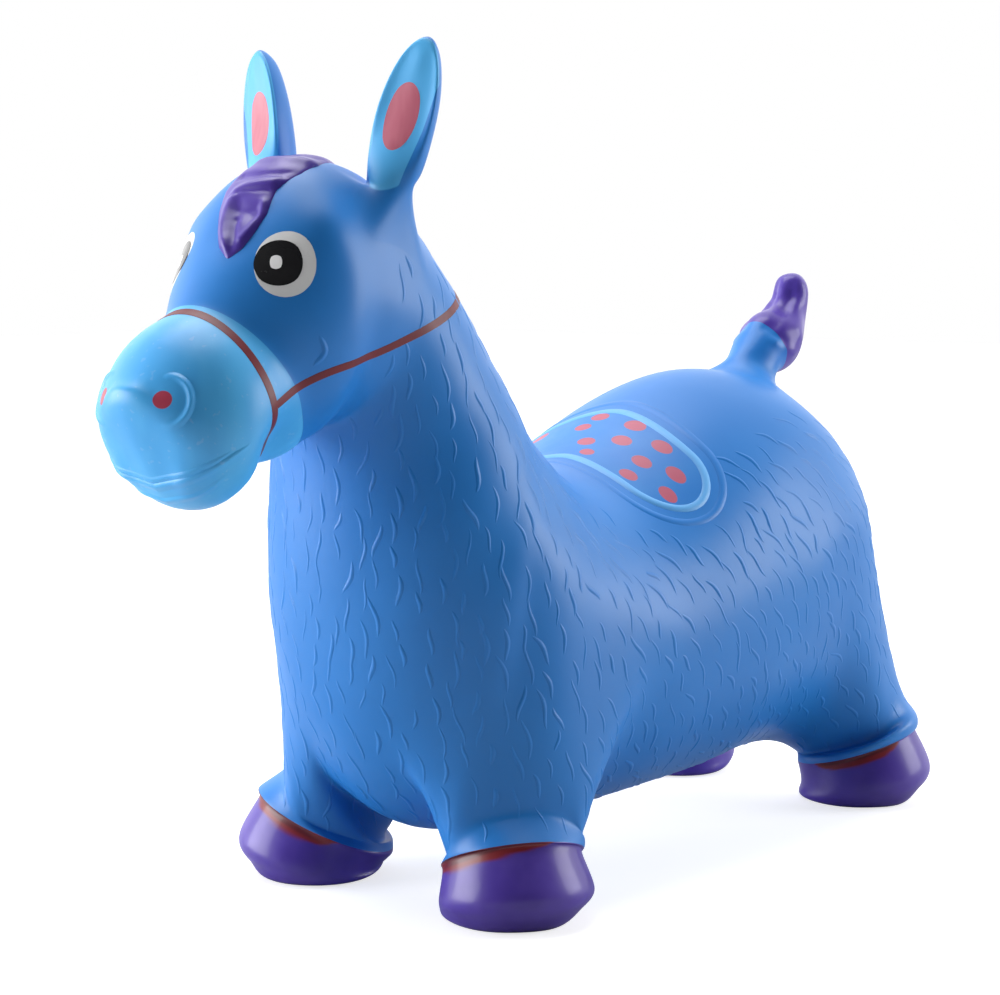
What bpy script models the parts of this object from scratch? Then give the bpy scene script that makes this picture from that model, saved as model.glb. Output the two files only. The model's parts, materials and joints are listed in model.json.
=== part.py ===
"""Inflatable ride-on hopper horse: a hollow moulded skin in colour zones, with its trim and air valve.

The horse faces -Y with its left side at +X and stands on the floor, z = 0. The skin is drawn as sections
along the animal, from the rump to the nose, and its legs, ears and tail grow out of openings in it.
Lengths are in metres. Heights are above the floor, and places along the horse are measured from the
middle of the front soles, towards the tail, until the finished horse is centred on the origin.
"""

import math

import bpy
import numpy as np
from mathutils import Vector
from mathutils.bvhtree import BVHTree

# Skin
WALL = 0.0018
CUT_GAP = 0.0003
TRIM_GAP = 0.0004
SOLE_CUT = 0.0005
SOLE_CROWN = 0.0008
HALF_SIDES = 8

# Barrel and chest
WHEELBASE = 0.390
TRACK = 0.165
BACK_HEIGHT = 0.310
BELLY_CLEARANCE = 0.040
BARREL_WIDTH = 0.250

# Neck, head and muzzle
HEAD_REACH = 0.220
POLL_HEIGHT = 0.440
HEAD_WIDTH = 0.112
MUZZLE_WIDTH = 0.108

# Legs and hooves
HOOF_WIDTH = 0.090
HOOF_OUTER_HEIGHT = 0.050
HOOF_INNER_HEIGHT = 0.020
REAR_HOOF_INNER_HEIGHT = 0.029
CORONET_BAND = 0.004
CORONET_STEP = 0.0016
LEG_WIDTH = 0.080
LEG_HEM = 0.010
LEG_WAIST_RISE = 0.026
LEG_SPLAY = 0.006
SOLE_SETBACK = 0.0025
LEG_HEADING = math.radians(35)

# Reach of a leg's waist and hem from the middle of its sole: outwards, to each side and inwards
FRONT_WAIST = (0.0130, 0.0410, 0.0365)
FRONT_HEM = (0.0270, 0.0400, 0.0460)
REAR_WAIST = (0.0205, 0.0320, 0.0405)
REAR_HEM = (0.0340, 0.0400, 0.0460)

# Ears
EAR_LENGTH = 0.100
EAR_WIDTH = 0.0375
EAR_THICKNESS = 0.027
EAR_LEAN = math.radians(14)
EAR_RAKE = math.radians(7)
EAR_TURN = math.radians(13)

# Tail
TAIL_LENGTH = 0.100
TAIL_RAKE = math.radians(37)
DOCK_RADIUS = 0.0190

# Eyes: half sizes of the white, the pupil and its glint, and how far each stands out
EYE_HALF_WIDTH = 0.0168
EYE_HALF_HEIGHT = 0.0187
PUPIL_HALF = 0.0134
PUPIL_FORWARD = 0.0030
GLINT_HALF = 0.0040
EYE_RELIEF = 0.0009

# Nostrils
NOSTRIL_HALF_WIDTH = 0.0120
NOSTRIL_HALF_HEIGHT = 0.0140
NOSTRIL_RELIEF = 0.0028

# Halter: a noseband, and a strap from its ends round the back of the neck
STRAP_WIDTH = 0.0036
STRAP_RELIEF = 0.0009
STRAP_GAP = 0.0007
NECK_STRAP_SLOPE = math.radians(20.8)
NECK_STRAP_OPENING = math.radians(34)

# Saddle cloth: its reach round the barrel to each side, its length over the back and at its flaps,
# how far the flaps hang ahead of the middle, and its border
SADDLE_REACH = 0.110
SADDLE_WAIST_LENGTH = 0.047
SADDLE_FLAP_LENGTH = 0.054
SADDLE_DRIFT = 0.0155
SADDLE_BORDER = 0.0040
SADDLE_RELIEF = 0.0010
SADDLE_GAP = 0.0008

# Mane: a raised lock from the nape over the poll to a point on the forehead
MANE_RELIEF = 0.0075
MANE_HALF_WIDTH = 0.0210
MANE_LEAN = 0.0110
MANE_BACK = math.radians(54)
MANE_FRONT = math.radians(65)

# Pink spots in the ears
EAR_SPOT_HALF_WIDTH = 0.0105
EAR_SPOT_HALF_LENGTH = 0.0190
EAR_SPOT_RELIEF = 0.0007

# Air valve in the belly
FLANGE_RADIUS = 0.0120
FLANGE_THICKNESS = 0.0016
SEAT_RADIUS = 0.0075
SEAT_DEPTH = 0.0110
BORE_RADIUS = 0.0034
PLUG_HEAD_RADIUS = 0.0068
PLUG_HEAD_THICKNESS = 0.0018
PLUG_STEM_LENGTH = 0.0110
PLUG_CLEARANCE = 0.0003

# Where the limbs grow out of the skin: between these sections, and these sides counted from the top
TAIL_STATIONS = (1, 3)
REAR_LEG_STATIONS = (1, 4)
FRONT_LEG_STATIONS = (8, 11)
LEG_SIDES = (4, 7)
EAR_STATIONS = (17, 19)
EAR_SIDES = (1, 3)
TAIL_DOCK_RINGS = 3
ZONE_ENDS = ((8, "barrel"), (14, "chest"), (16, "neck"), (23, "head"))
SETTLE_ROUNDS = 10
NORMAL_ROUNDS = 1

# Fineness of the facets
SKIN_LEVELS = 1
SEAT_LEVELS = 3
STRAP_STEPS = 36
SADDLE_STEPS = 52
SADDLE_ROWS = 4
MANE_ROWS = 20
MANE_COLUMNS = 6
TURN_STEPS = 24
SHARP_ANGLE = math.radians(35)

PARTS = "hopper_horse"
GUIDES = "guides"
PAIRED = ("leg", "coronet", "hoof", "ear")
COARSE_INSIDE = ("coronet_front", "coronet_rear", "hoof_front", "hoof_rear", "tail_tuft", "muzzle")
SIDES = ((1, "left"), (-1, "right"))

# Places on the head and muzzle: shares of half the width, of the reach of the nose and of the poll's height
EAR_PLACE_SHARES = (0.741, 0.3045, 0.918)
EYE_PLACE_SHARES = (0.723, 0.6455, 0.858)
NOSTRIL_PLACE_SHARES = (0.470, 0.9636, 0.700)
NOSEBAND_TOP_SHARES = (0, 0.800, 0.7977)
NOSEBAND_LOW_SHARES = (0, 0.691, 0.6318)
CHEEK_PLACE_SHARES = (0, 0.691, 0.6909)
MANE_CENTRE_SHARES = (0, 0.3636, 0.7841)

# Places along the barrel: shares of the wheelbase
SADDLE_PLACE_SHARE = 0.4654
VALVE_PLACE_SHARE = 0.769

RUMP_END_SHARE = 0.985
NOSE_HEIGHT_SHARE = 0.684
SOLE_EDGE_SHARE = 0.93
SOLE_RISE_SHARE = 0.20
SOLE_FLAT_SHARE = 0.75
SOLE_MIDDLE_SHARE = 0.45
WAIST_FOLD_SHARE = 0.85
HEM_FOLD_SHARE = 0.5
INNER_WALL_SHARE = 0.7
FACE_CENTRE_SHARE = 0.75
NECK_CENTRE_SHARE = 0.41
BARREL_CENTRE_SHARE = 0.41
FLAP_SHARE = 0.64
EAR_SPOT_SHARE = 0.52
CROWN_EDGE_SHARE = 0.12

# Sections of the barrel and chest: back place and height, belly place and height, half width.
# Places are shares of the wheelbase, heights run from the belly line to the back line.
BARREL_SHARES = (
    (0.970, 0.755, 0.972, 0.300, 0.50),
    (0.950, 0.850, 0.982, 0.150, 0.71),
    (0.908, 0.925, 0.948, 0.065, 0.83),
    (0.838, 0.970, 0.880, 0.015, 0.91),
    (0.735, 0.980, 0.780, -0.005, 0.95),
    (0.605, 0.938, 0.615, -0.018, 0.955),
    (0.477, 0.857, 0.440, -0.025, 0.93),
    (0.370, 0.788, 0.290, -0.025, 0.90),
    (0.279, 0.785, 0.160, -0.025, 0.88),
    (0.216, 0.825, 0.031, -0.010, 0.86),
    (0.171, 0.885, -0.075, 0.070, 0.83),
    (0.133, 0.945, -0.145, 0.220, 0.77),
    (0.112, 1.005, -0.176, 0.405, 0.71),
    (0.090, 1.060, -0.192, 0.590, 0.645),
)

# Sections of the neck, head and muzzle: top place and height, underside place and height, half width.
# Places are shares of the reach of the nose, heights of the height of the poll, widths of the head's.
HEAD_SHARES = (
    (-0.120, 0.772, 0.355, 0.550, 1.29),
    (-0.055, 0.820, 0.366, 0.606, 1.20),
    (0.040, 0.877, 0.380, 0.640, 1.13),
    (0.145, 0.936, 0.396, 0.650, 1.10),
    (0.282, 0.981, 0.414, 0.648, 1.10),
    (0.418, 0.995, 0.432, 0.645, 1.10),
    (0.550, 0.972, 0.447, 0.640, 1.12),
    (0.660, 0.908, 0.464, 0.634, 1.05),
    (0.735, 0.848, 0.486, 0.629, 0.92),
)

MUZZLE_SHARES = (
    (0.782, 0.808, 0.510, 0.620, 0.87),
    (0.836, 0.792, 0.590, 0.594, 0.94),
    (0.910, 0.766, 0.730, 0.561, 0.95),
    (0.972, 0.726, 0.870, 0.575, 0.70),
)

# Rings of the ear from root to tip: place along it, width and depth, the depth of its front hollow.
EAR_SHARES = (
    (0.14, 0.72, 0.98, 1.0),
    (0.26, 0.84, 0.92, 0.8),
    (0.50, 1.00, 0.80, 0.3),
    (0.74, 0.92, 0.68, 0.2),
    (0.91, 0.60, 0.50, 0.4),
)

# Rings of the tail from root to tip: place along it, radius, swing to the rear and extra tilt.
TAIL_SHARES = (
    (0.07, 1.16, 0.00, 0.0),
    (0.25, 0.98, 0.00, 0.0),
    (0.43, 0.96, 0.04, 0.35),
    (0.60, 0.91, 0.34, 0.20),
    (0.80, 0.51, 0.56, 0.0),
    (0.95, 0.36, 0.42, 0.0),
)


# Rows of the mane from its point on the forehead back to the nape: place in its sweep, half width, and
# how far it leans to the left side.
MANE_SHARES = (
    (0.00, 0.05, 1.00),
    (0.04, 0.38, 0.80),
    (0.10, 0.62, 0.55),
    (0.18, 0.82, 0.25),
    (0.27, 0.98, 0.05),
    (0.36, 0.98, 0.10),
    (0.46, 0.86, 0.25),
    (0.56, 0.74, 0.25),
    (0.67, 0.66, 0.10),
    (0.79, 0.56, 0.00),
    (0.91, 0.40, 0.00),
    (1.00, 0.06, 0.00),
)

# Colour and roughness of each finish, by a word in the node's name.
FINISHES = (
    ("eye_white", (0.86, 0.86, 0.85), 0.30),
    ("eye_glint", (0.90, 0.90, 0.90), 0.25),
    ("pupil", (0.010, 0.010, 0.012), 0.25),
    ("ear_spot", (0.62, 0.09, 0.15), 0.45),
    ("ear_lining", (0.09, 0.38, 0.80), 0.45),
    ("nostril", (0.09, 0.38, 0.80), 0.40),
    ("muzzle", (0.09, 0.38, 0.80), 0.40),
    ("saddle_border", (0.16, 0.46, 0.86), 0.45),
    ("noseband", (0.25, 0.010, 0.020), 0.40),
    ("strap", (0.25, 0.010, 0.020), 0.40),
    ("coronet", (0.25, 0.010, 0.020), 0.40),
    ("hoof", (0.055, 0.016, 0.26), 0.30),
    ("mane", (0.055, 0.016, 0.26), 0.30),
    ("tuft", (0.055, 0.016, 0.26), 0.30),
    ("valve", (0.80, 0.80, 0.78), 0.45),
    ("", (0.030, 0.16, 0.62), 0.45),
)


class Cage:
    """Half of the coarse skin, at X >= 0: corners, four-sided faces and the zone of each face."""

    def __init__(self):
        self.corners = []
        self.faces = []
        self.zones = []

    def corner(self, place):
        self.corners.append(tuple(place))
        return len(self.corners) - 1

    def face(self, corners, zone):
        """Add a face from its corners in clockwise order as seen from outside."""
        self.faces.append(tuple(corners)[::-1])
        self.zones.append(zone)


def half_section(top, under, half_width):
    """Points of half an oval section, from its top to its underside in the middle plane."""
    middle = (Vector(top) + Vector(under)) / 2
    upright = (Vector(top) - Vector(under)) / 2
    points = []
    for k in range(HALF_SIDES + 1):
        turn = math.pi * k / HALF_SIDES
        point = middle + upright * math.cos(turn)
        points.append(Vector((half_width * math.sin(turn), point.y, point.z)))
    return points


def barrel_sections():
    rise = BACK_HEIGHT - BELLY_CLEARANCE
    sections = []
    for back, back_rise, belly, belly_rise, width in BARREL_SHARES:
        top = (0, back * WHEELBASE, BELLY_CLEARANCE + back_rise * rise)
        under = (0, belly * WHEELBASE, BELLY_CLEARANCE + belly_rise * rise)
        sections.append(half_section(top, under, width * BARREL_WIDTH / 2))
    return sections


def head_place(shares, width):
    """A place on the head from its shares of half the width, of the reach and of the poll's height."""
    across, reach, rise = shares
    return Vector((across * width / 2, -reach * HEAD_REACH, rise * POLL_HEIGHT))


def head_sections(shares, width):
    sections = []
    for top_reach, top_rise, under_reach, under_rise, width_share in shares:
        top = (0, -top_reach * HEAD_REACH, top_rise * POLL_HEIGHT)
        under = (0, -under_reach * HEAD_REACH, under_rise * POLL_HEIGHT)
        sections.append(half_section(top, under, width_share * width / 2))
    return sections


def add_cap(cage, ring, nose, zone, rearwards):
    """Close a half ring with a grid of faces that bulges to the point nose, towards the tail or the nose."""
    rows = HALF_SIDES // 4
    side = ring[rows:-rows]
    grid = []
    for row in range(2 * rows + 1):
        if row == 0:
            grid.append([ring[0], ring[1], ring[2]])
        elif row == 2 * rows:
            grid.append([ring[-1], ring[-2], ring[-3]])
        else:
            edge = Vector(cage.corners[side[row]])
            top = Vector(cage.corners[ring[0]])
            low = Vector(cage.corners[ring[-1]])
            fall = row / (2 * rows)
            plane = top.lerp(low, fall)
            bulge = Vector(nose) - top.lerp(low, 0.5)
            swell = math.sin(math.pi * fall)
            middle = plane + bulge * swell
            between = plane.lerp(edge, 0.5) + bulge * swell * 0.75
            inner = [cage.corner((0, middle.y, middle.z)), cage.corner(between), side[row]]
            grid.append(inner)
    for upper, lower in zip(grid, grid[1:]):
        for column in range(2):
            corners = (upper[column], upper[column + 1], lower[column + 1], lower[column])
            cage.face(reversed(corners) if rearwards else corners, zone)


def ring_faces(cage, first, second, zone_of, closed):
    """Join two rings of corners with faces; zone_of gives the zone of each side."""
    count = len(first) if closed else len(first) - 1
    for side in range(count):
        after = (side + 1) % len(first)
        cage.face((first[side], first[after], second[after], second[side]), zone_of(side))


def patch_border(rings, stations, sides):
    """Corners round the opening that lies between two stations and two sides."""
    (first, last), (low, high) = stations, sides
    steps = [(first, k) for k in range(low, high)]
    steps += [(i, high) for i in range(first, last)]
    steps += [(last, k) for k in range(high, low, -1)]
    steps += [(i, low) for i in range(last, first, -1)]
    return [rings[i][k] for i, k in steps]


def add_grid_cap(cage, ring, nose, zone):
    """Close a whole ring with a square grid of faces whose middle is pushed out by the vector nose."""
    span = len(ring) // 4
    rows = [ring[:span + 1]]
    rows += [[ring[-row]] + [None] * (span - 1) + [ring[span + row]] for row in range(1, span)]
    rows.append([ring[-span - step] for step in range(span + 1)])
    place = cage.corners
    for row in range(1, span):
        for column in range(1, span):
            across = Vector(place[rows[row][0]]).lerp(Vector(place[rows[row][-1]]), column / span)
            along = Vector(place[rows[0][column]]).lerp(Vector(place[rows[-1][column]]), row / span)
            rows[row][column] = cage.corner((across + along) / 2 + Vector(nose))
    for upper, lower in zip(rows, rows[1:]):
        for column in range(span):
            cage.face((upper[column], upper[column + 1], lower[column + 1], lower[column]), zone)


def add_leg(cage, border, sole_place, heading, name):
    """Grow a leg, its coronet band and its hoof from the opening whose corners are border.

    The leg splays towards the angle heading, measured from straight out towards the tail. There the
    hoof's top edge is highest.
    """
    if name == "front":
        inner_height, waist, hem = HOOF_INNER_HEIGHT, FRONT_WAIST, FRONT_HEM
    else:
        inner_height, waist, hem = REAR_HOOF_INNER_HEIGHT, REAR_WAIST, REAR_HEM

    def coronet_height(turn):
        middle = (HOOF_OUTER_HEIGHT + inner_height) / 2
        slant = (HOOF_OUTER_HEIGHT - inner_height) / 2
        return middle + slant * math.cos(turn - heading)

    def band_height(turn):
        return coronet_height(turn) + CORONET_BAND

    def hem_height(turn):
        return band_height(turn) + LEG_HEM * (1 - HEM_FOLD_SHARE * (1 - math.cos(turn - heading)) / 2)

    def waist_height(turn):
        return hem_height(turn) + LEG_WAIST_RISE * (1 - WAIST_FOLD_SHARE * (1 - math.cos(turn - heading)) / 2)

    outwards = Vector((math.cos(heading), math.sin(heading), 0))
    sidewards = Vector((-math.sin(heading), math.cos(heading), 0))
    turns = [math.pi / 4 + 2 * math.pi * j / len(border) for j in range(len(border))]
    band, hoof = LEG_WIDTH / 2 + CORONET_STEP, HOOF_WIDTH / 2
    sole = Vector((TRACK / 2, sole_place, 0))
    top = sole - outwards * LEG_SPLAY
    inset = sole - outwards * SOLE_SETBACK
    levels = (
        (sole, waist, waist_height, "leg_" + name),
        (sole, hem, hem_height, "leg_" + name),
        (top, (band,) * 3, band_height, "leg_" + name),
        (top, (band - CORONET_STEP / 2,) * 3, coronet_height, "coronet_" + name),
        (sole, (hoof,) * 3, lambda t: coronet_height(t) / 2, "hoof_" + name),
        (inset, (hoof * SOLE_EDGE_SHARE,) * 3, lambda t: coronet_height(t) * SOLE_RISE_SHARE, "hoof_" + name),
        (inset, (hoof * SOLE_FLAT_SHARE,) * 3, lambda t: SOLE_CROWN - SOLE_CUT, "hoof_" + name),
        (inset, (hoof * SOLE_MIDDLE_SHARE,) * 3, lambda t: -SOLE_CUT, "hoof_" + name),
    )
    ring = border
    for centre, (outer, side, inner), height, zone in levels:
        after = []
        for turn in turns:
            ahead = math.cos(turn - heading)
            along = outwards * (ahead * (outer if ahead > 0 else inner))
            across = sidewards * (math.sin(turn - heading) * side)
            after.append(cage.corner(centre + along + across + Vector((0, 0, height(turn)))))
        ring_faces(cage, ring, after, lambda _, z=zone: z, True)
        ring = after
    add_grid_cap(cage, ring, (0, 0, 0), "hoof_" + name)


def ear_frame():
    """Root, long axis, outward direction and forward direction of the left ear."""
    root = head_place(EAR_PLACE_SHARES, HEAD_WIDTH)
    rise = math.cos(EAR_LEAN) * math.cos(EAR_RAKE)
    axis = Vector((math.sin(EAR_LEAN), math.sin(EAR_RAKE), rise)).normalized()
    front = Vector((math.sin(EAR_TURN), -math.cos(EAR_TURN), 0))
    front = (front - axis * front.dot(axis)).normalized()
    return root, axis, axis.cross(front), front


def add_ear(cage, border):
    """Grow a leaf-shaped ear, hollow in front, from the opening whose corners are border."""
    root, axis, outward, front = ear_frame()
    turns = [math.radians(135) - 2 * math.pi * j / len(border) for j in range(len(border))]
    ring = border
    for index, (place, width, depth, hollow) in enumerate(EAR_SHARES):
        after = []
        for turn in turns:
            back = math.sin(turn) if math.sin(turn) > 0 else math.sin(turn) * hollow
            across = outward * (math.cos(turn) * width * EAR_WIDTH / 2)
            through = front * (-back * depth * EAR_THICKNESS / 2)
            after.append(cage.corner(root + axis * (place * EAR_LENGTH) + across + through))
        ring_faces(cage, ring, after, lambda side, n=index: ear_zone(n, side), True)
        ring = after
    add_grid_cap(cage, ring, axis * (EAR_LENGTH * (1 - EAR_SHARES[-1][0])), "ear")


def ear_zone(index, side):
    if index == 0:
        return "ear_root"
    return "ear_lining" if side in (4, 5) and index > 1 else "ear"


def tail_frame():
    """Root and long axis of the tail."""
    root = barrel_sections()[TAIL_STATIONS[0] + 1][0]
    return root, Vector((0, math.sin(TAIL_RAKE), math.cos(TAIL_RAKE)))


def add_tail(cage, rings):
    """Grow the tail's dock and tuft from the opening in the top of the rump."""
    first, last = TAIL_STATIONS
    root, axis = tail_frame()
    border = [rings[first][0], rings[first][1], rings[first + 1][1], rings[last][1], rings[last][0]]
    ring = border
    for index, (place, width, swing, tilt) in enumerate(TAIL_SHARES):
        lean = TAIL_RAKE + tilt
        rear = Vector((0, math.cos(lean), -math.sin(lean)))
        centre = root + axis * (place * TAIL_LENGTH) + rear * (swing * DOCK_RADIUS)
        after = []
        for j in range(len(border)):
            turn = math.pi * j / (len(border) - 1)
            point = centre + rear * (math.cos(turn) * width * DOCK_RADIUS)
            after.append(cage.corner((math.sin(turn) * width * DOCK_RADIUS, point.y, point.z)))
        zone = "tail_dock" if index < TAIL_DOCK_RINGS else "tail_tuft"
        ring_faces(cage, ring, after, lambda _, z=zone: z, False)
        ring = after
    tip = cage.corner(root + axis * TAIL_LENGTH + rear * (swing * DOCK_RADIUS))
    cage.face((ring[0], ring[1], ring[2], tip), "tail_tuft")
    cage.face((tip, ring[2], ring[3], ring[4]), "tail_tuft")


def body_zone(station):
    """Zone of the skin between one station and the next, from the rump to the nose."""
    for last, zone in ZONE_ENDS:
        if station < last:
            return zone
    return "muzzle"


def in_opening(station, side):
    openings = (
        (TAIL_STATIONS, (0, 1)),
        (REAR_LEG_STATIONS, LEG_SIDES),
        (FRONT_LEG_STATIONS, LEG_SIDES),
        (EAR_STATIONS, EAR_SIDES),
    )
    return any(first <= station < last and low <= side < high for (first, last), (low, high) in openings)


def build_cage():
    cage = Cage()
    sections = barrel_sections() + head_sections(HEAD_SHARES, HEAD_WIDTH)
    sections += head_sections(MUZZLE_SHARES, MUZZLE_WIDTH)
    rings = [[cage.corner(point) for point in section] for section in sections]
    for station in range(len(rings) - 1):
        for side in range(HALF_SIDES):
            if not in_opening(station, side):
                corners = (rings[station][side], rings[station][side + 1],
                           rings[station + 1][side + 1], rings[station + 1][side])
                cage.face(corners, body_zone(station))
    rump = (0, RUMP_END_SHARE * WHEELBASE, sections[0][HALF_SIDES // 2].z)
    nose = (0, -HEAD_REACH, NOSE_HEIGHT_SHARE * POLL_HEIGHT)
    add_cap(cage, rings[0], rump, body_zone(0), True)
    add_cap(cage, rings[-1], nose, "muzzle", False)
    add_leg(cage, patch_border(rings, FRONT_LEG_STATIONS, LEG_SIDES), 0, -LEG_HEADING, "front")
    add_leg(cage, patch_border(rings, REAR_LEG_STATIONS, LEG_SIDES), WHEELBASE, LEG_HEADING, "rear")
    add_ear(cage, patch_border(rings, EAR_STATIONS, EAR_SIDES))
    add_tail(cage, rings)
    return drop_unused(cage)


def drop_unused(cage):
    """Leave out the corners inside the openings, which no face uses."""
    used = sorted({corner for face in cage.faces for corner in face})
    place = {old: new for new, old in enumerate(used)}
    cage.corners = [cage.corners[old] for old in used]
    cage.faces = [tuple(place[corner] for corner in face) for face in cage.faces]
    return cage


def settle(cage):
    """Move the cage's corners until the smooth skin passes through the places that were drawn."""
    half = np.array(cage.corners)
    count = len(half)
    in_plane = half[:, 0] < CUT_GAP
    half[in_plane, 0] = 0
    partner = np.where(in_plane, np.arange(count), np.arange(count) + count)
    faces = np.array(cage.faces)
    both = np.vstack([faces, partner[faces][:, ::-1]])
    valence = np.maximum(np.bincount(both.ravel(), minlength=2 * count), 1)[:, None]
    drawn = half.copy()
    for _ in range(SETTLE_ROUNDS):
        full = np.vstack([half, half * (-1, 1, 1)])
        edges, corners = np.zeros_like(full), np.zeros_like(full)
        for turn in range(4):
            here = both[:, turn]
            np.add.at(edges, here, (full[both[:, turn - 1]] + full[both[:, (turn + 1) % 4]]) / 2)
            np.add.at(corners, here, full[both[:, (turn + 2) % 4]])
        limit = (valence ** 2 * full + 4 * edges + corners) / (valence * (valence + 5))
        half = half + drawn - limit[:count]
        half[in_plane, 0] = 0
    cage.corners = [tuple(point) for point in half.tolist()]
    return cage


def collection(name):
    """The collection of that name, made when it's first asked for."""
    found = bpy.data.collections.get(name)
    if found is None:
        found = bpy.data.collections.new(name)
        bpy.context.scene.collection.children.link(found)
    return found


def add_guide(name, mesh):
    guide = bpy.data.objects.new(name, mesh)
    collection(GUIDES).objects.link(guide)
    guide.hide_render = True
    guide.display_type = "WIRE"
    return guide


def finish(name):
    """The node's own material."""
    word, colour, roughness = next(look for look in FINISHES if look[0] in name)
    material = bpy.data.materials.new(name)
    material.use_nodes = True
    shader = material.node_tree.nodes["Principled BSDF"]
    shader.inputs["Base Color"].default_value = (*colour, 1)
    shader.inputs["Roughness"].default_value = roughness
    return material


def add_part(name, mesh):
    part = bpy.data.objects.new(name, mesh)
    collection(PARTS).objects.link(part)
    mesh.shade_smooth()
    mesh.set_sharp_from_angle(angle=SHARP_ANGLE)
    mesh.materials.clear()
    mesh.materials.append(finish(name))
    return part


def evaluated(item):
    """The object's mesh with its modifiers carried out."""
    depsgraph = bpy.context.evaluated_depsgraph_get()
    return bpy.data.meshes.new_from_object(item.evaluated_get(depsgraph))


def whole_cage(cage):
    """The coarse skin of the whole animal, from its left half."""
    mesh = bpy.data.meshes.new("half_cage")
    mesh.from_pydata(cage.corners, [], cage.faces)
    zones = sorted(set(cage.zones))
    for _ in zones:
        mesh.materials.append(None)
    mesh.polygons.foreach_set("material_index", [zones.index(zone) for zone in cage.zones])
    half = add_guide("half_cage", mesh)
    mirror = half.modifiers.new("Both halves", "MIRROR")
    mirror.merge_threshold = CUT_GAP / 10
    mirror.use_clip = True
    return evaluated(half), zones


def smooth_skin(name, cage_mesh, levels):
    skin = add_guide(name, cage_mesh.copy())
    rounding = skin.modifiers.new("Rounding", "SUBSURF")
    rounding.levels = levels
    rounding.render_levels = levels
    return evaluated(skin)


def even_normals(mesh):
    """The mesh's corner normals, evened out with their neighbours so that a wall doesn't fold in a crease."""
    normals = [vertex.normal.copy() for vertex in mesh.vertices]
    for _ in range(NORMAL_ROUNDS):
        sums = [normal.copy() for normal in normals]
        for edge in mesh.edges:
            first, second = edge.vertices
            sums[first] += normals[second]
            sums[second] += normals[first]
        normals = [total.normalized() for total in sums]
    return normals


def inner_wall(cage_mesh, skin_mesh, zones):
    """Places of the skin's inner face under each corner of its outer face.

    They lie one wall below it. Where the inner face is coarse, its corners lie deeper under a crease and
    the middles of its edges are straight.
    """
    outer = [vertex.co.copy() for vertex in skin_mesh.vertices]
    normals = even_normals(skin_mesh)
    inner = [place - normal * WALL for place, normal in zip(outer, normals)]
    count = len(cage_mesh.vertices)
    middles, ends = {}, {}
    for face in skin_mesh.polygons:
        if zones[face.material_index] in COARSE_INSIDE:
            turn = next(index for index, corner in enumerate(face.vertices) if corner < count)
            corner, first, middle, last = [face.vertices[(turn + step) % 4] for step in range(4)]
            middles.setdefault(middle, set()).add(corner)
            for edge in (first, last):
                ends.setdefault(edge, set()).add(corner)
    for _ in range(SETTLE_ROUNDS):
        sinking = {}
        for middle, corners in middles.items():
            depth = sum((inner[corner] for corner in corners), Vector()) / len(corners)
            short = WALL * INNER_WALL_SHARE - (outer[middle] - depth).dot(normals[middle])
            for corner in corners:
                sinking[corner] = max(short, sinking.get(corner, 0))
        for corner, short in sinking.items():
            inner[corner] -= normals[corner] * short
    for edge, corners in ends.items():
        inner[edge] = sum((inner[corner] for corner in corners), Vector()) / len(corners)
    return inner


def rim_of(faces):
    """Edges that only one of the faces has, each as its corners in that face's order."""
    edges = {edge for face in faces for edge in zip(face, face[1:] + face[:1])}
    return [(a, b) for a, b in edges if (b, a) not in edges]


def pull_back(corners, faces, rim):
    """Half the cut gap, as a vector at each corner of the rim, from the cut line into the zone."""
    moves = {corner: Vector() for edge in rim for corner in edge}
    along = {corner: Vector() for corner in moves}
    for face in faces:
        centre = sum((corners[corner] for corner in face), Vector()) / len(face)
        for corner in face:
            if corner in moves:
                moves[corner] += (centre - corners[corner]).normalized()
    for a, b in rim:
        step = (corners[b] - corners[a]).normalized()
        along[a] += step
        along[b] += step
    for corner, move in moves.items():
        line = along[corner].normalized()
        moves[corner] = (move - line * move.dot(line)).normalized() * (CUT_GAP / 2)
    return moves


def zone_shell(name, outer, faces, inner, inner_faces):
    """One zone of the skin as a closed shell: outer faces, inner faces and the cut edge between them."""
    rim = rim_of(faces)
    moves = pull_back(outer, faces, rim)
    still = Vector()
    points = [place + moves.get(index, still) for index, place in enumerate(outer)]
    points += [place + moves.get(index, still) for index, place in enumerate(inner)]
    below = len(outer)
    shell = list(faces)
    shell += [tuple(corner + below for corner in reversed(face)) for face in inner_faces]
    inner_rim = dict(rim_of(inner_faces))
    after = dict(rim)
    for corner, end in inner_rim.items():
        middle = after[corner]
        if middle == end and corner > end:
            shell.append((end, corner, end + below))
            shell.append((corner, corner + below, end + below))
        elif middle == end:
            shell.append((end, corner, corner + below))
            shell.append((end, corner + below, end + below))
        else:
            shell.append((middle, corner, corner + below))
            shell.append((end, middle, end + below))
            shell.append((middle, corner + below, end + below))
    used = sorted({corner for face in shell for corner in face})
    place = {old: new for new, old in enumerate(used)}
    mesh = bpy.data.meshes.new(name)
    faces = [tuple(place[corner] for corner in face) for face in shell]
    mesh.from_pydata([points[old] for old in used], [], faces)
    return add_part(name, mesh)


def group_faces(mesh, zones):
    """Faces of each zone, left and right apart where the zone comes in a pair."""
    groups = {}
    for face in mesh.polygons:
        name = zones[face.material_index]
        if name.startswith(PAIRED):
            name += "_left" if face.center.x > 0 else "_right"
        groups.setdefault(name, []).append(tuple(face.vertices))
    return groups


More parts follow.
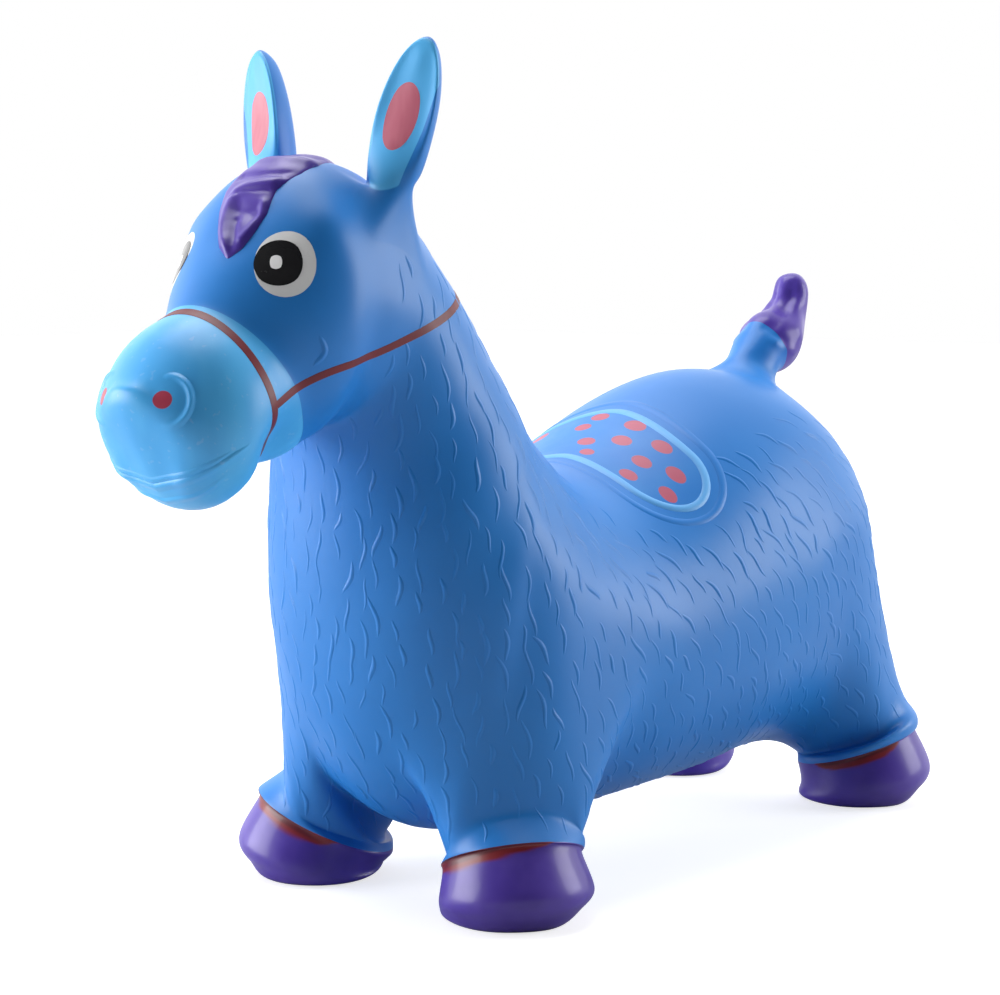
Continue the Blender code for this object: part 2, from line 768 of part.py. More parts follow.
def build_skin(cage_mesh, zones):
    skin_mesh = smooth_skin("skin", cage_mesh, SKIN_LEVELS)
    outer = [vertex.co.copy() for vertex in skin_mesh.vertices]
    inner = inner_wall(cage_mesh, skin_mesh, zones)
    coarse_groups = group_faces(cage_mesh, zones)
    parts = {}
    for name, faces in sorted(group_faces(skin_mesh, zones).items()):
        zone = name.removesuffix("_left").removesuffix("_right")
        inner_faces = coarse_groups[name] if zone in COARSE_INSIDE else faces
        parts[name] = zone_shell(name, outer, faces, inner, inner_faces)
    bpy.data.meshes.remove(skin_mesh)
    return parts


class Surface:
    """The skin to seat trim on: the outermost of its facets and of the smooth form they stand for."""

    def __init__(self, cage_mesh):
        self.trees = []
        for levels in (SKIN_LEVELS, SEAT_LEVELS):
            mesh = smooth_skin("seat_%d" % levels, cage_mesh, levels)
            corners = [vertex.co for vertex in mesh.vertices]
            self.trees.append(BVHTree.FromPolygons(corners, [tuple(face.vertices) for face in mesh.polygons]))
            bpy.data.meshes.remove(mesh)

    def under(self, point, direction, stand_off):
        """The place stand_off above the skin where a ray from outside through point meets it."""
        start = Vector(point) - direction * HEAD_REACH
        hits = [tree.ray_cast(start, direction)[:2] for tree in self.trees]
        hit, normal = min(hits, key=lambda found: found[0].dot(direction))
        return hit + normal * (-stand_off if normal.dot(direction) > 0 else stand_off)

    def outward(self, centre, direction, stand_off):
        """The place stand_off above the skin where a ray from a point inside it comes out."""
        hits = [tree.ray_cast(Vector(centre), direction)[:2] for tree in self.trees]
        hit, normal = max(hits, key=lambda found: found[0].dot(direction))
        return hit + normal * (stand_off if normal.dot(direction) > 0 else -stand_off)

    def facing(self, centre, direction):
        """Where a ray from inside comes out of the skin, and which way the skin faces there."""
        hit, normal = self.trees[1].ray_cast(Vector(centre), direction)[:2]
        return hit, normal if normal.dot(direction) > 0 else -normal


def mirrored(vector, side):
    return Vector((vector[0] * side, vector[1], vector[2]))


def raise_trim(part, relief, edge_share):
    """Thicken a seated sheet outwards, down to edge_share of the relief where its crown weight is zero."""
    solid = part.modifiers.new("Relief", "SOLIDIFY")
    solid.thickness = relief
    solid.offset = 1
    solid.use_even_offset = False
    if edge_share < 1:
        solid.vertex_group = "crown"
        solid.thickness_vertex_group = edge_share
    return part


def seated_sheet(name, places, faces, crowns, facing, relief, edge_share):
    """A raised piece of trim from places on the skin; its faces are turned to look along facing."""
    mesh = bpy.data.meshes.new(name)
    mesh.from_pydata(places, [], faces)
    mesh.update()
    total = sum((face.normal * face.area for face in mesh.polygons), Vector())
    if total.dot(facing) < 0:
        mesh.flip_normals()
    part = add_part(name, mesh)
    group = part.vertex_groups.new(name="crown")
    for index, crown in enumerate(crowns):
        group.add([index], max(crown, 0), "REPLACE")
    return raise_trim(part, relief, edge_share)


def oval_grid(rings, sides):
    """Points and faces of a disc of unit radius."""
    points = [(0, 0)]
    for ring in range(1, rings + 1):
        for side in range(sides):
            turn = 2 * math.pi * side / sides
            points.append((ring / rings * math.cos(turn), ring / rings * math.sin(turn)))
    faces = [(0, 1 + side, 1 + (side + 1) % sides) for side in range(sides)]
    for ring in range(1, rings):
        low, high = 1 + (ring - 1) * sides, 1 + ring * sides
        for side in range(sides):
            after = (side + 1) % sides
            faces.append((low + side, high + side, high + after, low + after))
    return points, faces


def seated_disc(name, surface, frame, half_sizes, stand_off, relief, edge_share, grid):
    """An oval of trim on the skin; frame is its middle, the directions of its two axes and of its face."""
    middle, across, along, facing = frame
    points, faces = grid
    places = []
    for u, v in points:
        target = middle + across * (u * half_sizes[0]) + along * (v * half_sizes[1])
        places.append(surface.under(target, -facing, stand_off))
    crowns = [1 - u * u - v * v for u, v in points]
    return seated_sheet(name, places, faces, crowns, facing, relief, edge_share)


def face_frame(surface, place, side):
    """Frame of trim that lies flat on the face: its middle, the way rearwards, the way up and its facing."""
    inside = Vector((0, place.y * FACE_CENTRE_SHARE, place.z))
    out = (mirrored(place, side) - inside).normalized()
    hit, facing = surface.facing(inside, out)
    up = Vector((0, 0, 1))
    along = (up - facing * facing.z).normalized()
    return hit, along.cross(facing) * side, along, facing


def build_eyes(surface):
    """Each eye's white, pupil and glint, as three layers."""
    layer = EYE_RELIEF + CUT_GAP
    for side, word in SIDES:
        eye = face_frame(surface, head_place(EYE_PLACE_SHARES, HEAD_WIDTH), side)
        white = (EYE_HALF_WIDTH, EYE_HALF_HEIGHT)
        seated_disc("eye_white_" + word, surface, eye, white, TRIM_GAP, EYE_RELIEF, 1, oval_grid(2, 20))
        middle, rearwards, along, facing = eye
        iris = (middle - rearwards * PUPIL_FORWARD, rearwards, along, facing)
        pupil = (PUPIL_HALF, PUPIL_HALF)
        seated_disc("pupil_" + word, surface, iris, pupil, TRIM_GAP + layer, EYE_RELIEF, 1, oval_grid(2, 20))
        glint = (GLINT_HALF, GLINT_HALF)
        seated_disc("eye_glint_" + word, surface, iris, glint, TRIM_GAP + 2 * layer, EYE_RELIEF / 2, 1,
                    oval_grid(1, 12))


def build_nostrils(surface):
    for side, word in SIDES:
        frame = face_frame(surface, head_place(NOSTRIL_PLACE_SHARES, MUZZLE_WIDTH), side)
        halves = (NOSTRIL_HALF_WIDTH, NOSTRIL_HALF_HEIGHT)
        seated_disc("nostril_" + word, surface, frame, halves, TRIM_GAP, NOSTRIL_RELIEF, CROWN_EDGE_SHARE,
                    oval_grid(3, 20))


def build_ear_spots(surface):
    root, axis, outward, front = ear_frame()
    spots = {}
    for side, word in SIDES:
        middle = mirrored(root + axis * (EAR_SPOT_SHARE * EAR_LENGTH), side)
        frame = (middle, mirrored(outward, side), mirrored(axis, side), mirrored(front, side))
        halves = (EAR_SPOT_HALF_WIDTH, EAR_SPOT_HALF_LENGTH)
        spots[word] = seated_disc("ear_spot_" + word, surface, frame, halves, TRIM_GAP, EAR_SPOT_RELIEF, 1,
                                  oval_grid(2, 16))
    return spots


def strap(name, surface, centre, axes, turns, closed):
    """A strap on the skin in the plane of the two axes, seen from a point inside: one step for each turn."""
    forward, sideways = axes
    normal = forward.cross(sideways)
    places = []
    for turn in turns:
        direction = forward * math.cos(turn) + sideways * math.sin(turn)
        for edge in (-1, 1):
            start = centre + normal * (edge * STRAP_WIDTH / 2)
            places.append(surface.outward(start, direction, STRAP_GAP))
    count = len(turns)
    faces = []
    for step in range(count if closed else count - 1):
        here, after = 2 * step, 2 * ((step + 1) % count)
        faces.append((here, here + 1, after + 1, after))
    mesh = bpy.data.meshes.new(name)
    mesh.from_pydata(places, [], faces)
    mesh.update()
    if mesh.polygons[0].normal.dot(places[0] - centre) < 0:
        mesh.flip_normals()
    return raise_trim(add_part(name, mesh), STRAP_RELIEF, 1)


def build_halter(surface):
    """The noseband round the nose, and the strap from cheek to cheek round the back of the neck."""
    sideways = Vector((1, 0, 0))
    top = head_place(NOSEBAND_TOP_SHARES, MUZZLE_WIDTH)
    low = head_place(NOSEBAND_LOW_SHARES, MUZZLE_WIDTH)
    turns = [2 * math.pi * step / STRAP_STEPS for step in range(STRAP_STEPS)]
    strap("noseband", surface, (top + low) / 2, ((top - low).normalized(), sideways), turns, True)
    back = Vector((0, math.cos(NECK_STRAP_SLOPE), math.sin(NECK_STRAP_SLOPE)))
    centre = head_place(CHEEK_PLACE_SHARES, HEAD_WIDTH) + back * (NECK_CENTRE_SHARE * HEAD_REACH)
    last = math.pi - NECK_STRAP_OPENING
    turns = [last * (2 * step / STRAP_STEPS - 1) for step in range(STRAP_STEPS + 1)]
    strap("neck_strap", surface, centre, (back, sideways), turns, False)


def saddle_outline(inset):
    """Outline of the saddle cloth laid flat, drawn in by inset: reach round the barrel, place along it."""
    points = []
    for step in range(SADDLE_STEPS):
        turn = 2 * math.pi * (step + 0.5) / SADDLE_STEPS
        reach = math.cos(turn)
        flap = math.sin(math.pi / 2 * min(abs(reach) / FLAP_SHARE, 1))
        length = SADDLE_WAIST_LENGTH + (SADDLE_FLAP_LENGTH - SADDLE_WAIST_LENGTH) * flap * flap
        end = max(abs(reach) - FLAP_SHARE, 0) / (1 - FLAP_SHARE)
        half = math.copysign(length / 2 * math.sqrt(1 - end * end), math.sin(turn))
        points.append(Vector((reach * SADDLE_REACH, half - SADDLE_DRIFT * flap)))
    drawn = []
    for step, point in enumerate(points):
        run = points[(step + 1) % SADDLE_STEPS] - points[step - 1]
        drawn.append(point + Vector((-run.y, run.x)).normalized() * inset)
    return drawn


def on_back(surface, point):
    """The place on the skin of a point of the flat saddle cloth."""
    turn = point.x / (BARREL_WIDTH / 2)
    height = BELLY_CLEARANCE + BARREL_CENTRE_SHARE * (BACK_HEIGHT - BELLY_CLEARANCE)
    centre = (0, SADDLE_PLACE_SHARE * WHEELBASE + point.y, height)
    return surface.outward(centre, Vector((math.sin(turn), 0, math.cos(turn))), SADDLE_GAP)


def build_saddle(surface):
    """The saddle cloth's raised border and the panel inside it."""
    up = Vector((0, 0, 1))
    outline = saddle_outline(0) + saddle_outline(SADDLE_BORDER)
    faces = []
    for step in range(SADDLE_STEPS):
        after = (step + 1) % SADDLE_STEPS
        faces.append((step, after, after + SADDLE_STEPS, step + SADDLE_STEPS))
    places = [on_back(surface, point) for point in outline]
    seated_sheet("saddle_border", places, faces, [1] * len(places), up, SADDLE_RELIEF, 1)
    outline = saddle_outline(SADDLE_BORDER + CUT_GAP)
    columns = SADDLE_STEPS // 2
    places, faces = [], []
    for column in range(columns):
        rear, front = outline[column], outline[-1 - column]
        places += [on_back(surface, rear.lerp(front, row / SADDLE_ROWS)) for row in range(SADDLE_ROWS + 1)]
    for column in range(columns - 1):
        for row in range(SADDLE_ROWS):
            here = column * (SADDLE_ROWS + 1) + row
            after = here + SADDLE_ROWS + 1
            faces.append((here, here + 1, after + 1, after))
    seated_sheet("saddle_panel", places, faces, [1] * len(places), up, SADDLE_RELIEF / 2, 1)


def build_mane(surface):
    """The mane, seated row by row from its point on the forehead."""
    places, crowns = [], []
    centre = head_place(MANE_CENTRE_SHARES, HEAD_WIDTH)
    sweeps, widths, leans = zip(*MANE_SHARES)
    for row in range(MANE_ROWS + 1):
        sweep = row / MANE_ROWS
        width = float(np.interp(sweep, sweeps, widths))
        lean = float(np.interp(sweep, sweeps, leans))
        turn = -MANE_FRONT + sweep * (MANE_FRONT + MANE_BACK)
        out = Vector((0, math.sin(turn), math.cos(turn)))
        for column in range(MANE_COLUMNS + 1):
            side = 2 * column / MANE_COLUMNS - 1
            across = side * width * MANE_HALF_WIDTH + lean * MANE_LEAN
            places.append(surface.under(centre + Vector((across, 0, 0)), -out, TRIM_GAP))
            crowns.append((1 - side * side) * min(1, 2 * width))
    faces = []
    for row in range(MANE_ROWS):
        for column in range(MANE_COLUMNS):
            here = row * (MANE_COLUMNS + 1) + column
            after = here + MANE_COLUMNS + 1
            faces.append((here, here + 1, after + 1, after))
    seated_sheet("mane", places, faces, crowns, Vector((0, 0, 1)), MANE_RELIEF, CROWN_EDGE_SHARE)


def turned(name, profile, place, link):
    """A turned piece on an upright axis; its profile runs from top to bottom down the outer side."""
    mesh = bpy.data.meshes.new(name)
    edges = [(step, step + 1) for step in range(len(profile) - 1)]
    if profile[0][0] > 0:
        edges.append((len(profile) - 1, 0))
    mesh.from_pydata([(radius, 0, height) for radius, height in profile], edges, [])
    piece = link(name, mesh)
    piece.location = place
    screw = piece.modifiers.new("Turning", "SCREW")
    screw.steps = TURN_STEPS
    screw.render_steps = TURN_STEPS
    screw.use_merge_vertices = True
    screw.merge_threshold = CUT_GAP / 10
    return piece


def cut(part, cutter):
    hole = part.modifiers.new("Cut by " + cutter.name, "BOOLEAN")
    hole.operation = "DIFFERENCE"
    hole.solver = "EXACT"
    hole.object = cutter


def build_valve(surface, barrel):
    """The valve's turned seat, let into the belly, and the plug in its bore."""
    middle = Vector((0, VALVE_PLACE_SHARE * WHEELBASE, 0))
    turns = [2 * math.pi * step / TURN_STEPS for step in range(TURN_STEPS)]
    rim = [Vector((math.cos(turn), math.sin(turn), 0)) * FLANGE_RADIUS for turn in turns]
    depths = [surface.under(middle + step, Vector((0, 0, 1)), TRIM_GAP).z for step in rim]
    belly = middle + Vector((0, 0, min(depths)))
    neck_top = TRIM_GAP + WALL + SEAT_DEPTH
    seat_profile = (
        (SEAT_RADIUS, neck_top),
        (SEAT_RADIUS, 0),
        (FLANGE_RADIUS, 0),
        (FLANGE_RADIUS, -FLANGE_THICKNESS),
        (BORE_RADIUS, -FLANGE_THICKNESS),
        (BORE_RADIUS, neck_top),
    )
    turned("valve_seat", seat_profile, belly, add_part)
    head = -FLANGE_THICKNESS - PLUG_CLEARANCE
    stem = BORE_RADIUS - PLUG_CLEARANCE
    plug_profile = (
        (0, head + PLUG_STEM_LENGTH),
        (stem, head + PLUG_STEM_LENGTH),
        (stem, head),
        (PLUG_HEAD_RADIUS, head),
        (PLUG_HEAD_RADIUS, head - PLUG_HEAD_THICKNESS),
        (0, head - PLUG_HEAD_THICKNESS),
    )
    plug = turned("valve_plug", plug_profile, belly, add_part)
    hole = SEAT_RADIUS + PLUG_CLEARANCE
    hole_profile = ((0, neck_top), (hole, neck_top), (hole, -FLANGE_THICKNESS), (0, -FLANGE_THICKNESS))
    cut(barrel, turned("valve_hole", hole_profile, belly, add_guide))
    return plug


def build_floor():
    """A block under the floor that cuts the soles flat."""
    low, high = -BELLY_CLEARANCE, 0
    corners = [(x * BARREL_WIDTH, y * 2 * WHEELBASE, z) for z in (low, high)
               for x, y in ((-1, -1), (1, -1), (1, 1), (-1, 1))]
    faces = [(3, 2, 1, 0), (4, 5, 6, 7), (0, 1, 5, 4), (1, 2, 6, 5), (2, 3, 7, 6), (3, 0, 4, 7)]
    mesh = bpy.data.meshes.new("floor_block")
    mesh.from_pydata(corners, [], faces)
    return add_guide("floor_block", mesh)


def ear_pivot(side):
    root, axis, _, _ = ear_frame()
    return mirrored(root + axis * (EAR_SHARES[0][0] * EAR_LENGTH), side)


def tail_pivot():
    root, axis = tail_frame()
    return root + axis * (TAIL_SHARES[1][0] * TAIL_LENGTH)


def hang(name, pivot, parts):
    """Put a moving body's parts under an empty on its joint."""
    empty = bpy.data.objects.new(name, None)
    collection(PARTS).objects.link(empty)
    empty.location = pivot
    for part in parts:
        part.parent = empty
        part.location -= Vector(pivot)


def build_bodies(skin, spots, plug):
    """Hang the parts of the moving bodies: ears, hooves, tail and plug."""
    for side, word in SIDES:
        ear = [skin["ear_" + word], skin["ear_lining_" + word], spots[word]]
        hang("ear_joint_" + word, ear_pivot(side), ear)
        for end, place in (("front", 0), ("rear", WHEELBASE)):
            foot = [skin["%s_%s_%s" % (piece, end, word)] for piece in ("hoof", "coronet")]
            hang("hoof_joint_%s_%s" % (end, word), (side * TRACK / 2, place, 0), foot)
    hang("tail_joint", tail_pivot(), [skin["tail_tuft"]])
    hang("plug_joint", plug.location.copy(), [plug])


def middle_of_length():
    """Place along the horse that is halfway between its foremost and rearmost points."""
    places = []
    for part in collection(PARTS).objects:
        if part.type == "MESH":
            mesh = evaluated(part)
            places += [(part.location + vertex.co).y for vertex in mesh.vertices]
            bpy.data.meshes.remove(mesh)
    return (min(places) + max(places)) / 2


def main():
    for item in list(bpy.data.objects):
        bpy.data.objects.remove(item)
    cage = settle(build_cage())
    cage_mesh, zones = whole_cage(cage)
    surface = Surface(cage_mesh)
    skin = build_skin(cage_mesh, zones)
    build_eyes(surface)
    build_nostrils(surface)
    spots = build_ear_spots(surface)
    build_halter(surface)
    build_saddle(surface)
    build_mane(surface)
    plug = build_valve(surface, skin["barrel"])
    floor = build_floor()
    for name, part in skin.items():
        if name.startswith("hoof"):
            cut(part, floor)
    middle = middle_of_length()
    build_bodies(skin, spots, plug)
    for item in bpy.data.objects:
        if item.parent is None:
            item.location.y -= middle


if __name__ == "__main__":
    main()
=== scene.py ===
"""Looks of the inflatable ride-on hopper horse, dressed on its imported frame.

The skin is one smooth form grown from a coarse cage of sections, cut into the frame's zones, with the
moulded fur, the folds of the mane and the painted trim laid on it. Drawing places are in metres, measured
along the horse from the middle of the front soles; CENTRING moves them into the frame.
"""
import json
import logging
import math
from dataclasses import dataclass, field
from enum import Enum
from typing import Any, Callable, ClassVar, Iterable, Sequence

import bpy
import numpy as np
from mathutils import Euler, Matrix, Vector
from mathutils.bvhtree import BVHTree
from mathutils.kdtree import KDTree

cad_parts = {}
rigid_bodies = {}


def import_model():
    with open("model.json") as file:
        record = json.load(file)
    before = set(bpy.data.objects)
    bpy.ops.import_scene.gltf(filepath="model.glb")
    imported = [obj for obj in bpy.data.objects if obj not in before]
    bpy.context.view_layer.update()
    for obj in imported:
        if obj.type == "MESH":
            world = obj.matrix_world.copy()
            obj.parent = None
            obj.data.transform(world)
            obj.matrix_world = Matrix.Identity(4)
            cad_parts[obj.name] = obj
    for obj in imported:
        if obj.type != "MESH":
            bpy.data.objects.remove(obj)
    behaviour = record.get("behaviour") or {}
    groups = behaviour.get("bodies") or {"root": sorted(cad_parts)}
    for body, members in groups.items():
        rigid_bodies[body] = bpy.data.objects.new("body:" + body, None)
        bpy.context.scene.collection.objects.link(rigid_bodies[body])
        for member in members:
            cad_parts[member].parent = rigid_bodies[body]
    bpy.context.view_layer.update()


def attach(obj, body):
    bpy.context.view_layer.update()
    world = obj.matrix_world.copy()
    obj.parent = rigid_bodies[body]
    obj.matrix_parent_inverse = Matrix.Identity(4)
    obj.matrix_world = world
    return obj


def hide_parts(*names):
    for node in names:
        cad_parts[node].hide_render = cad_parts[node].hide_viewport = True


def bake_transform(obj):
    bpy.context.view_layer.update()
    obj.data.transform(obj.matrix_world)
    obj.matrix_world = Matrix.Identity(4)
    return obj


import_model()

LOG = logging.getLogger("hopper_horse")
CENTRING = 0.106773
Colour = tuple[float, float, float]
Point = tuple[float, float, float]
UP = Vector((0, 0, 1))
# Small numbers that keep divisions safe.
TINY = 1e-12
TINY_SQUARE = 1e-18
TINY_GAP = 1e-9
# Where an oval sheet's edge begins, squared, and how far the edge dips under the skin.
EDGE_SHARE = 0.985
EDGE_DIP = 0.00012
# A painted spot's stored value is this less the distance from its middle in its own half sizes.
SPOT_LEVEL = 1.5


# Shader maths


class Value:
    """A number socket that takes arithmetic; each expression adds its Math nodes."""

    def __init__(self, graph: "Graph", socket: bpy.types.NodeSocket) -> None:
        """Keep the graph and the socket."""
        self.graph = graph
        self.socket = socket

    def _math(self, operation: str, first: Any, second: Any) -> "Value":
        """One Math node on two values."""
        return self.graph.node("Math", {"operation": operation}, {0: first, 1: second})

    def __add__(self, other: Any) -> "Value":
        """Sum."""
        return self._math("ADD", self, other)

    def __radd__(self, other: Any) -> "Value":
        """Sum with the number first."""
        return self._math("ADD", other, self)

    def __sub__(self, other: Any) -> "Value":
        """Difference."""
        return self._math("SUBTRACT", self, other)

    def __rsub__(self, other: Any) -> "Value":
        """Difference with the number first."""
        return self._math("SUBTRACT", other, self)

    def __mul__(self, other: Any) -> "Value":
        """Product."""
        return self._math("MULTIPLY", self, other)

    def __rmul__(self, other: Any) -> "Value":
        """Product with the number first."""
        return self._math("MULTIPLY", other, self)


class Graph:
    """The node tree of one material, cleared to a Principled shader and its output, or of a world."""

    def __init__(self, name: str, tree: Any = None) -> None:
        """Make the material, or take a world's tree.

        Args:
            name: The material's name.
            tree: The world's tree.
        """
        if tree:
            self.tree = tree
            return
        self.material = bpy.data.materials.new(name)
        self.material.use_nodes = True
        self.tree = self.material.node_tree
        self.tree.nodes.clear()
        self.shader = self.tree.nodes.new("ShaderNodeBsdfPrincipled")
        output = self.tree.nodes.new("ShaderNodeOutputMaterial")
        self.tree.links.new(self.shader.outputs[0], output.inputs[0])

    def put(self, socket: bpy.types.NodeSocket, value: Any) -> None:
        """Give a socket its value or link.

        Args:
            socket: The socket.
            value: A number, a vector, a colour or another node's output.
        """
        if isinstance(value, Value):
            self.tree.links.new(value.socket, socket)
        else:
            socket.default_value = value

    def node(self, kind: str, settings: dict[str, Any], inputs: dict[Any, Any], output: Any = 0) -> Value:
        """Add one node.

        Args:
            kind: The node's type, without its ShaderNode prefix.
            settings: Its properties, set first.
            inputs: Values or links by socket name or number.
            output: Which output to return.

        Returns:
            The chosen output.
        """
        made = self.tree.nodes.new("ShaderNode" + kind)
        for name, value in settings.items():
            setattr(made, name, value)
        for name, value in inputs.items():
            self.put(made.inputs[name], value)
        return Value(self, made.outputs[output])

    def mix(self, share: Any, first: Any, second: Any) -> Value:
        """Blend two colours by a share.

        Args:
            share: How much of the second colour shows.
            first: The first colour.
            second: The second colour.

        Returns:
            The blend.
        """
        # Inputs 6 and 7 and output 2 are the node's sockets for colours.
        ends = [(*end, 1) if isinstance(end, tuple) else end for end in (first, second)]
        inputs = {0: share, 6: ends[0], 7: ends[1]}
        return self.node("Mix", {"data_type": "RGBA"}, inputs, 2)

    def attribute(self, name: str) -> Value:
        """A number stored on the mesh's corners."""
        return self.node("Attribute", {"attribute_name": name}, {}, "Fac")

    def noise(self, scale: float, stretch: Point = (1, 1, 1), detail: float = 2, rough: float = 0.5) -> Value:
        """Noise in object space, drawn out along an axis by a small stretch.

        Args:
            scale: About how many of its clouds fit in a metre.
            stretch: Its scale along each axis.
            detail: How many finer layers it has.
            rough: How strong the finer layers are.

        Returns:
            The noise, from 0 to 1.
        """
        place = self.node("TexCoord", {}, {}, "Object")
        drawn = self.node("VectorMath", {"operation": "MULTIPLY"}, {0: place, 1: stretch})
        inputs = {"Vector": drawn, "Scale": scale, "Detail": detail, "Roughness": rough}
        return self.node("TexNoise", {}, inputs, "Fac")

    def step(self, value: Value, low: float, high: float) -> Value:
        """A smooth rise from 0 at low to 1 at high."""
        settings = {"interpolation_type": "SMOOTHSTEP"}
        return self.node("MapRange", settings, {"Value": value, "From Min": low, "From Max": high})


class Tone(Enum):
    """How a finish's two tones lie on the surface."""

    CLOUDED = (1.0, 1.0, 1.0)
    BRUSHED_DOWN = (1.0, 1.0, 0.22)


@dataclass(frozen=True)
class Mark:
    """Paint, or painted shade, laid over a finish where a value stored on the mesh is high."""

    attribute: str
    colour: Colour
    low: float = 0.42
    high: float = 0.58
    strength: float = 1.0


@dataclass(frozen=True)
class Finish:
    """A paint or moulded vinyl: two close tones, a satin or glossy face and a fine grain."""

    name: str
    base: Colour
    second: Colour
    roughness: float
    tone: Tone = Tone.CLOUDED
    tone_scale: float = 22.0
    tone_share: float = 0.6
    tone_edges: tuple[float, float] = (0.35, 0.68)
    tone_detail: tuple[float, float] = (3, 0.55)
    roughness_spread: float = 0.10
    wear_ratio: float = 3
    wear_detail: tuple[float, float] = (4, 0.6)
    coat: float = 0.0
    coat_roughness: float = 0.12
    sheen: float = 0.36
    refraction: float = 1.5
    grain: float = 0.05
    grain_scale: float = 900.0
    grain_detail: tuple[float, float] = (2, 0.6)
    grain_share: float = 0.4
    swell_scale: float = 60.0
    swell_share: float = 1.6
    relief: float = 0.0006
    speckle: float = 0.0
    speckle_scale: float = 260.0
    speckle_edges: tuple[float, float] = (0.66, 0.74)
    speckle_colour: Colour = (0.9, 0.93, 0.97)
    marks: tuple[Mark, ...] = ()

    def material(self) -> bpy.types.Material:
        """The finish's material, made once.

        Returns:
            The material.
        """
        known = bpy.data.materials.get(self.name)
        if known:
            return known
        graph = Graph(self.name)
        shader = graph.shader.inputs
        cloud = graph.noise(self.tone_scale, self.tone.value, *self.tone_detail)
        share = graph.step(cloud, *self.tone_edges) * self.tone_share
        colour = graph.mix(share, self.base, self.second)
        if self.speckle:
            dust = graph.step(graph.noise(self.speckle_scale, detail=1), *self.speckle_edges)
            colour = graph.mix(dust * self.speckle, colour, self.speckle_colour)
        for mark in self.marks:
            cover = graph.step(graph.attribute(mark.attribute), mark.low, mark.high) * mark.strength
            colour = graph.mix(cover, colour, mark.colour)
        graph.put(shader["Base Color"], colour)
        wear = graph.noise(self.tone_scale * self.wear_ratio, Tone.CLOUDED.value, *self.wear_detail)
        graph.put(shader["Roughness"], (wear - 0.5) * self.roughness_spread * 2 + self.roughness)
        shader["Coat Weight"].default_value = self.coat
        shader["Coat Roughness"].default_value = self.coat_roughness
        shader["IOR"].default_value = self.refraction
        shader["Specular IOR Level"].default_value = self.sheen
        pits = graph.noise(self.grain_scale, Tone.CLOUDED.value, *self.grain_detail)
        swell = graph.noise(self.swell_scale)
        height = pits * self.grain_share + swell * self.swell_share
        inputs = {"Strength": self.grain, "Distance": self.relief, "Height": height}
        graph.put(shader["Normal"], graph.node("Bump", {}, inputs))
        return graph.material


BLUE = (0.017, 0.190, 0.58)
BLUE_LIGHT = (0.024, 0.220, 0.64)
SKY = (0.085, 0.44, 0.84)
SKY_DEEP = (0.050, 0.34, 0.76)
VIOLET = (0.072, 0.038, 0.32)
VIOLET_LIGHT = (0.120, 0.075, 0.44)
RED = (0.22, 0.020, 0.026)
PINK = (0.48, 0.10, 0.16)
RIM_SKY = (0.125, 0.41, 0.80)

VINYL = Finish("blue_vinyl", BLUE, BLUE_LIGHT, 0.40, tone_scale=9, roughness_spread=0.06)
EAR_PAINT = Finish("ear_paint", BLUE, BLUE_LIGHT, 0.44, tone_scale=9, roughness_spread=0.06,
                   marks=(Mark("lining", SKY, 0.42, 0.58),))
SKY_PAINT = Finish("sky_paint", SKY, SKY_DEEP, 0.36, Tone.BRUSHED_DOWN, 30, 0.75, grain=0.08, speckle=0.06)
VIOLET_PAINT = Finish("violet_paint", VIOLET, VIOLET_LIGHT, 0.38, tone_scale=26, tone_share=0.45, coat=0.12)
# The hoof's marks: its red coronet paint, and painted shade under the hem of the leg.
HOOF_PAINT = Finish("hoof_paint", VIOLET, VIOLET_LIGHT, 0.36, tone_scale=26, coat=0.14,
                    marks=(Mark("red", RED, 0.0, 1.0), Mark("shade", (0.030, 0.008, 0.020), 0.0, 1.0, 0.55)))
STRAP_PAINT = Finish("strap_paint", (0.155, 0.012, 0.019), (0.115, 0.010, 0.015), 0.44, tone_scale=60,
                     tone_share=0.7)
BORDER_PAINT = Finish("border_paint", RIM_SKY, (0.12, 0.40, 0.82), 0.40, tone_scale=40)
SADDLE_PAINT = Finish("saddle_paint", BLUE, (0.035, 0.24, 0.62), 0.42, tone_scale=20,
                      marks=(Mark("spot", PINK, 0.44, 0.56),))
SPOT_PAINT = Finish("pink_paint", PINK, (0.62, 0.20, 0.26), 0.40, Tone.BRUSHED_DOWN, 50, 0.8)
WHITE_PAINT = Finish("eye_white_paint", (0.78, 0.78, 0.78), (0.68, 0.69, 0.70), 0.30, tone_scale=30, coat=0.2)
BLACK_PAINT = Finish("pupil_paint", (0.010, 0.010, 0.012), (0.022, 0.022, 0.024), 0.24, tone_scale=30,
                     coat=0.3)
GLINT_PAINT = Finish("glint_paint", (0.97, 0.97, 0.97), (0.92, 0.92, 0.93), 0.30)
NOSTRIL_PAINT = Finish("nostril_paint", SKY, SKY_DEEP, 0.36, Tone.BRUSHED_DOWN, 30, 0.75, grain=0.08,
                       marks=(Mark("red", (0.42, 0.05, 0.09), 0.45, 0.56),))
VALVE_PLASTIC = Finish("valve_plastic", (0.74, 0.74, 0.71), (0.62, 0.62, 0.59), 0.42, tone_scale=60)


# The coarse form


